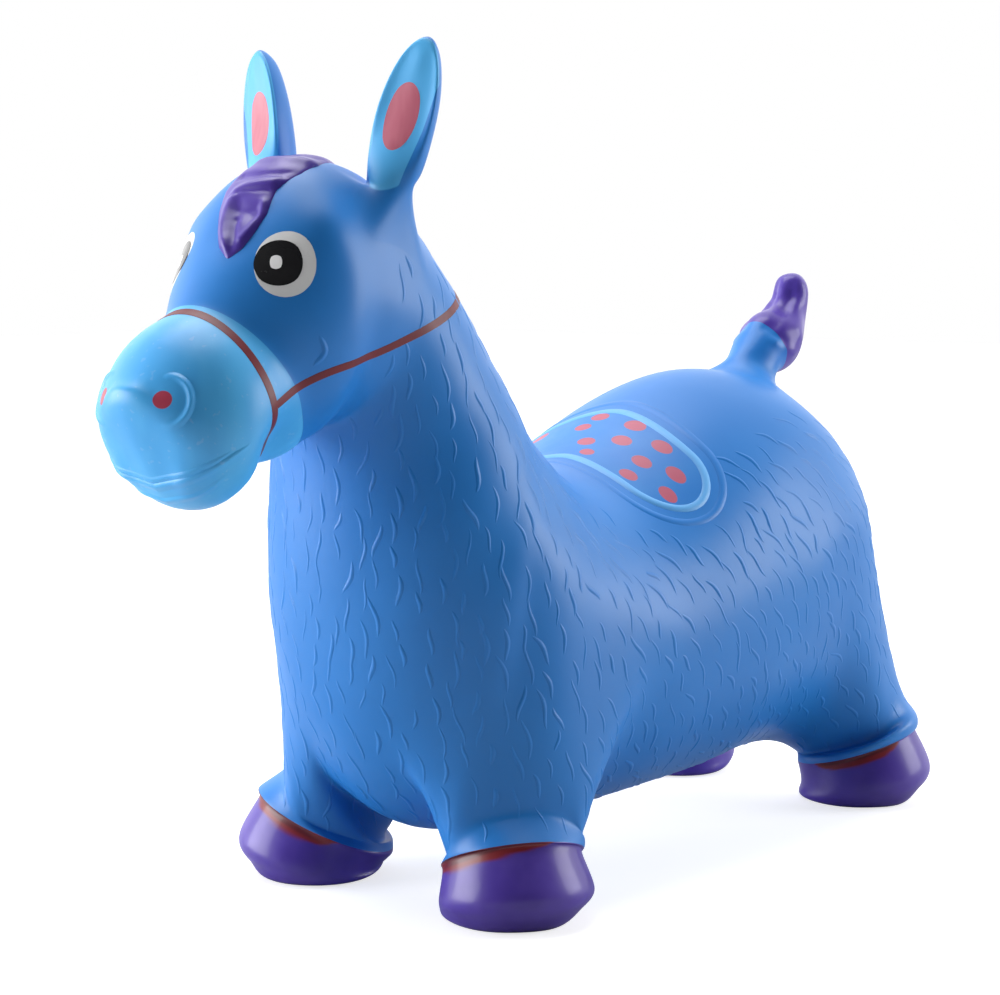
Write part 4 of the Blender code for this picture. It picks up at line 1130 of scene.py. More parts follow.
def grid_quads(rows: int, columns: int) -> np.ndarray:
    """Quads between rows of points."""
    here = (np.arange(rows - 1)[:, None] * columns + np.arange(columns - 1)[None, :]).ravel()
    return np.stack([here, here + 1, here + columns + 1, here + columns], axis=1)


def turned_patch(points: np.ndarray, quads: np.ndarray, outward: np.ndarray) -> Patch:
    """A patch turned to face outward.

    Args:
        points: The points.
        quads: Corners of each quad.
        outward: Roughly where each point faces.

    Returns:
        The patch.
    """
    facing = facing_of(points, quads)
    if (facing * outward).sum() < 0:
        quads, facing = quads[:, ::-1], -facing
    return Patch(points, quads, facing)


def grid_patch(points: np.ndarray, rows: int, columns: int, outward: np.ndarray) -> Patch:
    """A patch from rows of points, turned to face outward."""
    return turned_patch(points, grid_quads(rows, columns), outward)


@dataclass
class Fur:
    """Moulded strokes of hair: short wavy ridges that run down the skin and sweep rearwards on the flank."""

    spacing: float = 0.0118
    lengths: tuple[float, float] = (0.012, 0.025)
    half_width: float = 0.0015
    height: float = 0.00043
    wave: float = 0.075
    bends: float = 0.72
    tries: int = 15000
    rows: int = 11
    columns: int = 7
    seed: int = 11
    # Where the strokes thin out: a start and a span, upwards, downwards and towards the face.
    top_fade: tuple[float, float] = (0.45, 0.35)
    under_fade: tuple[float, float] = (-0.80, 0.15)
    face_fade: tuple[float, float] = (-0.085, 0.05)
    head_share: float = 0.55
    saddle_place: float = 0.170
    saddle_half: float = 0.036
    saddle_height: float = 0.205
    sweep: float = 0.62
    sweep_rise: tuple[float, float] = (-0.08, 0.26)
    turn_spread: float = 0.16
    sizes: tuple[float, float] = (0.65, 1.2)
    taper_power: float = 0.6
    round_power: float = 1.7
    end_share: float = 0.15
    dip: float = 0.00005

    def density(self, skin: Skin, quads: np.ndarray) -> np.ndarray:
        """How thickly the strokes stand on each quad, from 0 to 1.

        Args:
            skin: The skin.
            quads: Numbers of the quads.

        Returns:
            The density of each quad.
        """
        middle = skin.points[skin.quads[quads]].mean(axis=1)
        facing = skin.facing[skin.quads[quads, 0]]
        (top, top_span), (low, low_span), (face, face_span) = self.top_fade, self.under_fade, self.face_fade
        share = 1 - smooth_rise((facing[:, 2] - top) / top_span)
        share *= 1 - smooth_rise((low - facing[:, 2]) / low_span)
        head = np.array(["head" in skin.names[zone] for zone in skin.zones[quads]])
        share = np.where(head, smooth_rise((middle[:, 1] - face) / face_span) * self.head_share, share)
        under_cloth = np.abs(middle[:, 1] - self.saddle_place) < self.saddle_half
        return np.where(under_cloth & (middle[:, 2] > self.saddle_height), 0, share)

    def roots(self, skin: Skin, quads: np.ndarray) -> tuple[np.ndarray, np.ndarray]:
        """Evenly scattered middles of the strokes.

        Args:
            skin: The skin.
            quads: Numbers of the quads that carry fur.

        Returns:
            The middles and the quad that each lies on.
        """
        dice = np.random.default_rng(self.seed)
        corners = skin.points[skin.quads[quads]]
        a, b, c, d = (corners[:, turn] for turn in range(4))
        weight = np.linalg.norm(np.cross(c - a, d - b), axis=1) * self.density(skin, quads)
        chosen = dice.choice(len(quads), self.tries, p=weight / weight.sum())
        u, v = dice.random((2, self.tries, 1))
        a, b, c, d = (corner[chosen] for corner in (a, b, c, d))
        places = (a * (1 - u) + b * u) * (1 - v) + (d * (1 - u) + c * u) * v
        taken: dict[tuple[int, ...], list[np.ndarray]] = {}
        kept = []
        for number, place in enumerate(places):
            cell = tuple((place // self.spacing).astype(int))
            near = [other for x in (-1, 0, 1) for y in (-1, 0, 1) for z in (-1, 0, 1)
                    for other in taken.get((cell[0] + x, cell[1] + y, cell[2] + z), ())]
            if all(((place - other) ** 2).sum() > self.spacing ** 2 for other in near):
                taken.setdefault(cell, []).append(place)
                kept.append(number)
        return places[kept], quads[chosen[kept]]

    def lay(self, skin: Skin, pieces: dict[str, np.ndarray]) -> dict[str, Patch]:
        """Strokes for each piece of the skin.

        Args:
            skin: The skin.
            pieces: Quads of each piece that carries fur.

        Returns:
            One patch for each piece.
        """
        quads = np.concatenate(list(pieces.values()))
        middle, on = self.roots(skin, quads)
        furred = set(skin.zones[quads].tolist())
        dice = np.random.default_rng(self.seed + 1)
        count = len(middle)
        facing = skin.facing[skin.quads[on, 0]]
        sweep_start, sweep_span = self.sweep_rise
        sweep = self.sweep * smooth_rise((middle[:, 1] - sweep_start) / sweep_span)
        flow = np.stack([np.zeros(count), sweep, -np.ones(count)], axis=1)
        side = unit(np.cross(facing, flow))
        along = unit(np.cross(side, facing))
        turn = dice.normal(0, self.turn_spread, (count, 1))
        along, side = along * np.cos(turn) + side * np.sin(turn), side * np.cos(turn) - along * np.sin(turn)
        half = dice.uniform(*self.lengths, (count, 1)) / 2
        phase, size = dice.uniform(0, math.pi, (count, 1)), dice.uniform(*self.sizes, (count, 1))
        t = np.linspace(-1, 1, self.rows)[None, :]
        u = np.linspace(-1, 1, self.columns)
        wave = np.sin(math.pi * t * self.bends + phase) * self.wave * 2 * half
        taper = (1 - t * t) ** self.taper_power
        width = self.half_width * size * (self.end_share + (1 - self.end_share) * taper)
        centre = middle[:, None] + along[:, None] * (t * half)[..., None] + side[:, None] * wave[..., None]
        target = centre[:, :, None] + side[:, None, None] * (width[..., None] * u)[..., None]
        inside = np.array([all(skin.zone_at(line[end]) in furred for end in (0, -1)) for line in centre])
        hit, normal = skin.near(target.reshape(-1, 3))
        lift = (taper * size)[..., None] * ((1 - u * u) ** self.round_power) * self.height - self.dip
        points = (hit + normal * lift.reshape(-1, 1)).reshape(count, -1, 3)
        normal = normal.reshape(points.shape)
        found = {}
        for name, numbers in pieces.items():
            mine = np.flatnonzero(np.isin(on, numbers) & inside)
            if len(mine):
                found[name] = self.joined(points[mine], normal[mine])
                LOG.info("fur on %s: %d strokes", name, len(mine))
        return found

    def joined(self, points: np.ndarray, outward: np.ndarray) -> Patch:
        """Strokes as one patch.

        Args:
            points: Points of each stroke.
            outward: Roughly where they face.

        Returns:
            The patch.
        """
        one = grid_quads(self.rows, self.columns)
        quads = (one[None] + np.arange(len(points))[:, None, None] * points.shape[1]).reshape(-1, 4)
        return turned_patch(points.reshape(-1, 3), quads, outward.reshape(-1, 3))


# Showing the pieces


class Workshop:
    """Makes the shown objects, sets them in the frame and has them ride on its bodies."""

    def show(self, name: str, patch: Patch, finish: Finish, node: str, body: str = "") -> bpy.types.Object:
        """Make one piece that stands for one CAD node.

        Args:
            name: The piece's name.
            patch: Its form in drawing places.
            finish: Its finish.
            node: The CAD node that it replaces.
            body: The body it rides on, or nothing where it rides on none.

        Returns:
            The object.
        """
        mesh = bpy.data.meshes.new(name)
        points = patch.points - (0, CENTRING, 0)
        mesh.from_pydata(points.tolist(), [], patch.quads.tolist())
        mesh.shade_smooth()
        mesh.normals_split_custom_set_from_vertices(patch.facing.tolist())
        for title, values in patch.values.items():
            mesh.attributes.new(title, "FLOAT", "POINT").data.foreach_set("value", values.astype(np.float32))
        mesh.materials.append(finish.material())
        piece = bpy.data.objects.new(name, mesh)
        bpy.context.scene.collection.objects.link(piece)
        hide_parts(node)
        if body:
            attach(piece, body)
        LOG.info("%s: %d faces for %s", name, len(patch.quads), node)
        return piece

    def bend(self, piece: bpy.types.Object, body: str, still: np.ndarray, moving: np.ndarray) -> None:
        """Bake a piece's place into its mesh and measure how far its points lie from its two borders; the
        blend share found from them is not used.

        Args:
            piece: The piece.
            body: The moving body; not used.
            still: Points of its border with the horse.
            moving: Points of its border with the moving body.
        """
        start, end = (border.mean(axis=0) - (0, CENTRING, 0) for border in (still, moving))
        tuple(start)
        tuple(end)
        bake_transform(piece)
        places = [vertex.co + Vector((0, CENTRING, 0)) for vertex in piece.data.vertices]
        reach = []
        for border in (still, moving):
            tree = KDTree(len(border))
            for number, point in enumerate(border.tolist()):
                tree.insert(point, number)
            tree.balance()
            reach.append(np.array([tree.find(place)[2] for place in places]))
        share = smooth_rise(reach[0] / (reach[0] + reach[1] + TINY_GAP))


def border_points(skin: Skin, quads: np.ndarray, others: Iterable[np.ndarray]) -> np.ndarray:
    """Points that a piece of the skin shares with other pieces.

    Args:
        skin: The skin.
        quads: Quads of the piece.
        others: Quads of each of the other pieces.

    Returns:
        The points.
    """
    mine = np.unique(skin.quads[quads])
    theirs = np.unique(skin.quads[np.concatenate(list(others))])
    return skin.points[np.intersect1d(mine, theirs)]


# Painted and moulded trim


@dataclass
class Seat:
    """A place on the skin to lay trim on: its middle, two directions along it and the way it faces."""

    middle: np.ndarray
    across: np.ndarray
    along: np.ndarray
    facing: np.ndarray
    inner_share: ClassVar[float] = 0.75

    @classmethod
    def on_face(cls, skin: Skin, place: Vector) -> "Seat":
        """A seat on the left of the face, whose first direction runs rearwards and second up.

        Args:
            skin: The skin.
            place: Roughly where it is.

        Returns:
            The seat.
        """
        inside = Vector((0, place.y * cls.inner_share, place.z))
        out = (place - inside).normalized()
        hits, facing = skin.struck(np.array([inside]), np.array(out))
        along = unit(np.array((0, 0, 1)) - facing[0] * facing[0, 2])
        return cls(hits[0], np.cross(along, facing[0]), along, facing[0])

    def shifted(self, across: float, along: float = 0.0) -> "Seat":
        """The seat moved along its two directions."""
        middle = self.middle + self.across * across + self.along * along
        return Seat(middle, self.across, self.along, self.facing)


def oval(skin: Skin, seat: Seat, halves: tuple[float, float],
         lift: Callable[[np.ndarray, np.ndarray], np.ndarray], steps: int = 32, flush: bool = True) -> Patch:
    """An oval sheet laid on the skin.

    Args:
        skin: The skin.
        seat: Where it lies.
        halves: Its half sizes along the seat's directions.
        lift: Gives its height above the skin from the places u and v in the unit disc.
        steps: Quads from side to side.
        flush: Whether it is shaded as the skin beneath, as paint is.

    Returns:
        The sheet, with its u and v stored.
    """
    line = np.linspace(-1, 1, steps + 1)
    x, y = (grid.ravel() for grid in np.meshgrid(line, line))
    u, v = x * np.sqrt(1 - y * y / 2), y * np.sqrt(1 - x * x / 2)
    target = seat.middle + seat.across * (u * halves[0])[:, None] + seat.along * (v * halves[1])[:, None]
    hit, normal = skin.under(target, -seat.facing)
    patch = grid_patch(hit + normal * lift(u, v)[:, None], steps + 1, steps + 1, normal)
    if flush:
        patch.facing = normal
    patch.values = {"u": u, "v": v}
    return patch


def flat(height: float) -> Callable[[np.ndarray, np.ndarray], np.ndarray]:
    """A lift of even height whose edge dips under the skin."""
    return lambda u, v: np.where(u * u + v * v > EDGE_SHARE, -EDGE_DIP, height)


@dataclass
class Face:
    """Eyes, nostrils and the pink spots in the ears."""

    skin: Skin
    horse: Horse
    eye: tuple[float, float, float] = (0.723, 0.6455, 0.858)
    eye_halves: tuple[float, float] = (0.0168, 0.0187)
    pupil_half: float = 0.0134
    pupil_shift: tuple[float, float] = (-0.0034, 0.0004)
    glint_halves: tuple[float, float] = (0.0036, 0.0043)
    glint_shift: tuple[float, float] = (-0.0012, 0.0002)
    coat_heights: tuple[float, float, float] = (0.00025, 0.00045, 0.00065)
    nostril: tuple[float, float, float] = (0.470, 0.9636, 0.700)
    nostril_halves: tuple[float, float] = (0.0145, 0.0160)
    nostril_rise: float = 0.0015
    nostril_dip: float = 0.0001
    # The nostril's crescent, fill and red spot, in shares of its half sizes.
    crest_share: float = 0.82
    crest_width_share: float = 0.12
    rim_share: float = 0.18
    rear_shares: tuple[float, float] = (-0.55, 1.3)
    core_share: float = 0.05
    fill_share: float = 0.15
    fill_reach_share: float = 0.85
    red_place_shares: tuple[float, float] = (-0.20, 0.02)
    red_half_shares: tuple[float, float] = (0.36, 0.30)
    spot_share: float = 0.545
    spot_inset: float = 0.0012
    spot_halves: tuple[float, float] = (0.0100, 0.0195)
    spot_height: float = 0.0003

    def eyes(self) -> dict[str, tuple[Patch, Finish]]:
        """White, pupil and glint of the left eye.

        Returns:
            The form and the finish of each.
        """
        seat = Seat.on_face(self.skin, self.horse.trunk.place(*self.eye))
        iris = seat.shifted(*self.pupil_shift)
        glint = iris.shifted(*self.glint_shift)
        white_lift, pupil_lift, glint_lift = (flat(height) for height in self.coat_heights)
        return {
            "eye_white": (oval(self.skin, seat, self.eye_halves, white_lift), WHITE_PAINT),
            "pupil": (oval(self.skin, iris, (self.pupil_half,) * 2, pupil_lift), BLACK_PAINT),
            "eye_glint": (oval(self.skin, glint, self.glint_halves, glint_lift, steps=16), GLINT_PAINT),
        }

    def nostril_lift(self, u: np.ndarray, v: np.ndarray) -> np.ndarray:
        """Height of the nostril's boss: a crescent ridge at its rear round a low fill.

        Args:
            u: Places across it, from -1 to 1.
            v: Places up it, from -1 to 1.

        Returns:
            The height at each place.
        """
        r = np.sqrt(u * u + v * v)
        start, span = self.rear_shares
        rear = smooth_rise((u / np.maximum(r, self.core_share) - start) / span)
        ridge = np.exp(-((r - self.crest_share) / self.crest_width_share) ** 2)
        crest = np.where(r < self.crest_share, ridge, smooth_rise((1 - r) / self.rim_share))
        fill = self.fill_share * smooth_rise((1 - r) / self.fill_reach_share)
        return self.nostril_rise * np.maximum(crest * rear, fill) - self.nostril_dip

    def nostril_patch(self) -> Patch:
        """The left nostril.

        Returns:
            Its boss, and where it is red.
        """
        x, y, z = self.nostril
        width = self.horse.trunk.muzzle_width / self.horse.trunk.head_width
        seat = Seat.on_face(self.skin, self.horse.trunk.place(x * width, y, z))
        patch = oval(self.skin, seat, self.nostril_halves, self.nostril_lift, steps=44, flush=False)
        (u_red, v_red), (u_half, v_half) = self.red_place_shares, self.red_half_shares
        u, v = patch.values.pop("u"), patch.values.pop("v")
        reach = np.sqrt(((u - u_red) / u_half) ** 2 + ((v - v_red) / v_half) ** 2)
        patch.values["red"] = np.clip(SPOT_LEVEL - reach, 0, 1)
        return patch

    def ear_spot(self) -> Patch:
        """The pink spot in the left ear.

        Returns:
            Its form.
        """
        ear = self.horse.ear()
        axis, outward, front = (np.array(way) for way in ear.directions())
        middle = np.array(ear.root) + axis * (self.spot_share * ear.length) - outward * self.spot_inset
        seat = Seat(middle, outward, axis, front)
        return oval(self.skin, seat, self.spot_halves, flat(self.spot_height), steps=24)


@dataclass
class Halter:
    """The noseband, and the strap from its ends round the back of the neck."""

    skin: Skin
    horse: Horse
    width: float = 0.0056
    strap_width: float = 0.0046
    lift: float = 0.00028
    dip: float = 0.0001
    across_shares: tuple[float, ...] = (-1.0, -0.9, 0.0, 0.9, 1.0)
    band_top_shares: Point = (0, 0.800, 0.7977)
    band_low_shares: Point = (0, 0.691, 0.6318)
    strap_shares: Point = (0, 0.691, 0.6909)
    slope: float = math.radians(20.8)
    opening: float = math.radians(27.3)
    bow: float = 0.0045
    bow_turn: float = math.radians(137)
    bow_reach: float = 0.30
    centre_share: float = 0.41
    steps: int = 260

    def ribbon(self, centre: Vector, axes: tuple[Vector, Vector], turns: np.ndarray, width: float,
               rise: Any = 0.0) -> Patch:
        """A ribbon on the skin in the plane of two axes.

        Args:
            centre: A point inside the horse.
            axes: The two axes.
            turns: The angle of each step.
            width: The ribbon's width.
            rise: How far each step lies off that plane.

        Returns:
            The ribbon.
        """
        forward, sideways = (np.array(axis) for axis in axes)
        normal = np.cross(forward, sideways)
        ways = forward * np.cos(turns)[:, None] + sideways * np.sin(turns)[:, None]
        across = np.array(self.across_shares)
        away = across[None, :] * width / 2 + np.broadcast_to(rise, turns.shape)[:, None]
        starts = (np.array(centre) + normal * away[..., None]).reshape(-1, 3)
        hit, facing = self.skin.struck(starts, np.repeat(ways, len(across), axis=0))
        lift = np.tile(np.where(np.abs(across) == 1, -self.dip, self.lift), len(turns))
        patch = grid_patch(hit + facing * lift[:, None], len(turns), len(across), facing)
        patch.facing = facing
        return patch

    def noseband(self) -> Patch:
        """The band round the nose.

        Returns:
            Its form.
        """
        place = self.horse.trunk.place
        top, low = place(*self.band_top_shares), place(*self.band_low_shares)
        turns = np.linspace(0, 2 * math.pi, self.steps)
        return self.ribbon((top + low) / 2, ((top - low).normalized(), Vector((1, 0, 0))), turns, self.width)

    def neck_strap(self) -> Patch:
        """The strap round the neck.

        Returns:
            Its form.
        """
        trunk = self.horse.trunk
        back = Vector((0, math.cos(self.slope), math.sin(self.slope)))
        centre = trunk.place(*self.strap_shares) + back * (self.centre_share * trunk.head_reach)
        last = math.pi - self.opening
        turns = np.linspace(-last, last, self.steps)
        rise = -self.bow * np.exp(-((np.abs(turns) - self.bow_turn) / self.bow_reach) ** 2)
        return self.ribbon(centre, (back, Vector((1, 0, 0))), turns, self.strap_width, rise)


@dataclass
class Saddle:
    """The saddle cloth: its raised border and the panel with its pink spots."""

    skin: Skin
    horse: Horse
    place_share: float = 0.4654
    reach: float = 0.110
    waist_length: float = 0.0615
    waist_drift: float = 0.0028
    flap_length: float = 0.0600
    drift: float = 0.0128
    border: float = 0.0070
    flap_share: float = 0.64
    centre_share: float = 0.41
    waist_blend: float = 0.01
    band_dip: float = 0.0002
    panel_share: float = 0.8
    panel_height: float = 0.0003
    spot_length_share: float = 0.66
    above: float = 0.3
    paired_from: float = 0.03
    steps: int = 208
    rows: int = 36
    # Each spot: place across the back, place along the horse, and half its width.
    spots: tuple[tuple[float, ...], ...] = (
        (-0.007, 0.196, 0.0070), (-0.012, 0.184, 0.0064), (0.003, 0.168, 0.0068), (0.012, 0.157, 0.0056),
        (0.024, 0.1925, 0.0082), (0.0255, 0.176, 0.0076), (0.050, 0.1860, 0.0080), (0.048, 0.167, 0.0076),
        (0.049, 0.1515, 0.0070), (0.0685, 0.1755, 0.0080), (0.0735, 0.160, 0.0074))

    def outline(self, inset: float) -> np.ndarray:
        """Outline of the cloth laid flat.

        Args:
            inset: How far it is drawn in.

        Returns:
            Its points: reach round the barrel and place along it.
        """
        turn = 2 * math.pi * (np.arange(self.steps) + 0.5) / self.steps
        reach = np.cos(turn)
        flap = np.minimum(np.sqrt(reach ** 2 + self.waist_blend) / self.flap_share, 1)
        flap = np.sin(math.pi / 2 * flap)
        length = self.waist_length + (self.flap_length - self.waist_length) * flap * flap
        end = np.maximum(np.abs(reach) - self.flap_share, 0) / (1 - self.flap_share)
        half = np.copysign(length / 2 * np.sqrt(1 - end * end), np.sin(turn))
        drift = self.waist_drift + (self.drift - self.waist_drift) * flap
        points = np.stack([reach * self.reach, half - drift], axis=1)
        run = np.roll(points, -1, axis=0) - np.roll(points, 1, axis=0)
        return points + unit(np.stack([-run[:, 1], run[:, 0]], axis=1)) * inset

    def on_back(self, flat_points: np.ndarray, lift: np.ndarray) -> tuple[np.ndarray, np.ndarray]:
        """Lay points of the flat cloth on the skin.

        Args:
            flat_points: The points.
            lift: How far each is lifted above the skin.

        Returns:
            Their places and the direction that the skin faces at each.
        """
        trunk = self.horse.trunk
        turn = flat_points[:, 0] / (trunk.barrel_width / 2)
        height = trunk.belly_clearance + self.centre_share * (trunk.back_height - trunk.belly_clearance)
        along = self.place_share * trunk.wheelbase + flat_points[:, 1]
        starts = np.stack([np.zeros_like(turn), along, np.full_like(turn, height)], axis=1)
        ways = np.stack([np.sin(turn), np.zeros_like(turn), np.cos(turn)], axis=1)
        hit, facing = self.skin.struck(starts, ways)
        return hit + facing * lift[:, None], facing

    def band(self, inset: float, width: float, height: float) -> Patch:
        """A raised band along the outline, rounded over its width.

        Args:
            inset: How far inside the outline its outer edge lies.
            width: Its width.
            height: Its height.

        Returns:
            The band.
        """
        across = np.linspace(0, 1, 9)
        rings = np.stack([self.outline(inset + share * width) for share in across])
        rings = np.concatenate([rings, rings[:, :1]], axis=1)
        lift = np.repeat(height * (1 - (2 * across - 1) ** 2) - self.band_dip, rings.shape[1])
        points, facing = self.on_back(rings.reshape(-1, 2), lift)
        return grid_patch(points, len(across), rings.shape[1], facing)

    def panel(self) -> Patch:
        """The panel within the border.

        Returns:
            Its form, and how near each of its points is to a spot.
        """
        line = self.outline(self.border * self.panel_share)
        half = self.steps // 2
        rear, front = line[:half], line[:half - 1:-1]
        share = np.linspace(0, 1, self.rows + 1)[None, :, None]
        points = (rear[:, None] * (1 - share) + front[:, None] * share).reshape(-1, 2)
        hit, facing = self.on_back(points, np.full(len(points), self.panel_height))
        patch = grid_patch(hit, half, self.rows + 1, facing)
        patch.facing = facing
        near = np.zeros(len(hit))
        for x, y, size in self.spots:
            for side in (1, -1) if x > self.paired_from else (1,):
                top, _ = self.skin.under(np.array([(x * side, y, self.above)]), (0, 0, -1))
                away = hit - top[0]
                away = away - facing * (away * facing).sum(axis=1, keepdims=True)
                across = (away[:, [0, 2]] ** 2).sum(axis=1) / size ** 2
                reach = np.sqrt((away[:, 1] / size / self.spot_length_share) ** 2 + across)
                near = np.maximum(near, np.clip(SPOT_LEVEL - reach, 0, 1))
        patch.values = {"spot": near}
        return patch


@dataclass(frozen=True)
class Lock:
    """A lock of the mane, or a crease where its rise is below 0; its places are sweep and side."""

    path: tuple[tuple[float, float], ...]
    half_width: float
    rise: float


@dataclass
class Mane:
    """The mane: one raised lock from the nape over the poll, curled over on itself above the forehead."""

    skin: Skin
    horse: Horse
    relief: float = 0.0042
    half_width: float = 0.0210
    lean: float = 0.0110
    back: float = math.radians(60)
    front: float = math.radians(65)
    rows: int = 170
    columns: int = 56
    length: float = 0.187
    centre_shares: Point = (0, 0.3636, 0.7841)
    crown_power: float = 0.55
    crown_width_share: float = 2.2
    crown_share: float = 0.80
    lock_share: float = 1.8
    least_height: float = 0.0011
    dip: float = 0.0003
    # Each station: sweep from the forelock to the nape, width, and how far it leans to the left.
    shares: tuple[tuple[float, float, float], ...] = (
        (0.00, 0.05, 1.00), (0.035, 0.38, 0.82), (0.095, 0.64, 0.58), (0.17, 0.865, 0.335),
        (0.255, 0.93, -0.03), (0.34, 1.05, 0.20), (0.42, 0.95, 0.35), (0.49, 0.80, 0.18),
        (0.55, 0.62, -0.08), (0.63, 0.48, -0.50), (0.74, 0.44, -0.52), (0.86, 0.42, -0.25),
        (0.94, 0.34, -0.10), (1.00, 0.06, 0.00))
    locks: tuple[Lock, ...] = (
        Lock(((0.03, -0.10), (0.075, -0.50), (0.118, -0.55), (0.172, -0.48), (0.203, -0.42), (0.230, -0.28),
              (0.248, 0.05), (0.260, 0.35), (0.274, 0.80)), 0.0044, 0.0022),
        Lock(((0.166, 0.02), (0.162, 0.55)), 0.0058, -0.0020),
        Lock(((0.200, 0.84), (0.160, 0.88), (0.112, 0.84), (0.066, 0.72)), 0.0028, 0.0014),
        Lock(((0.028, 0.30), (0.066, 0.20), (0.100, 0.07), (0.130, 0.00)), 0.0026, -0.0014),
        Lock(((0.214, -0.50), (0.232, -0.05), (0.238, 0.40), (0.246, 0.80)), 0.0013, -0.0007),
        Lock(((0.300, -0.60), (0.298, 0.00), (0.308, 0.50), (0.320, 0.95)), 0.0030, -0.0016),
        Lock(((0.385, -0.70), (0.378, 0.00), (0.388, 0.50), (0.410, 1.00)), 0.0036, 0.0014),
        Lock(((0.440, -0.60), (0.436, 0.20), (0.465, 0.90)), 0.0034, -0.0014),
        Lock(((0.50, 0.20), (0.60, 0.10), (0.74, 0.00), (0.88, -0.05)), 0.0030, -0.0012))

    def patch(self) -> Patch:
        """The mane.

        Returns:
            Its form.
        """
        sweeps, widths, leans = zip(*self.shares)
        sweep = np.repeat(np.linspace(0, 1, self.rows + 1), self.columns + 1)
        side = np.tile(np.linspace(-1, 1, self.columns + 1), self.rows + 1)
        width = np.interp(sweep, sweeps, widths)
        turn = sweep * (self.front + self.back) - self.front
        out = np.stack([np.zeros_like(turn), np.sin(turn), np.cos(turn)], axis=1)
        centre = np.array(self.horse.trunk.place(*self.centre_shares))
        across = side * width * self.half_width + np.interp(sweep, sweeps, leans) * self.lean
        aside = np.stack([across, np.zeros_like(across), np.zeros_like(across)], axis=1)
        hit, facing = self.skin.struck(centre + aside + out * self.skin.outside, -out)
        crown = (1 - side ** 2) ** self.crown_power * np.minimum(1, self.crown_width_share * width)
        places = np.stack([sweep * self.length, side * width * self.half_width], axis=1)
        rise = np.zeros_like(sweep)
        for lock in self.locks:
            path = [(s * self.length, u * float(np.interp(s, sweeps, widths)) * self.half_width)
                    for s, u in lock.path]
            rise += lock.rise * np.exp(-(away_from(places, path) / lock.half_width) ** 2)
        lift = self.relief * crown * self.crown_share + rise * np.minimum(1, crown * self.lock_share)
        lift = np.maximum(lift, self.least_height * np.minimum(1, crown * 2)) - self.dip
        return grid_patch(hit + facing * lift[:, None], self.rows + 1, self.columns + 1, facing)


# The dressed horse


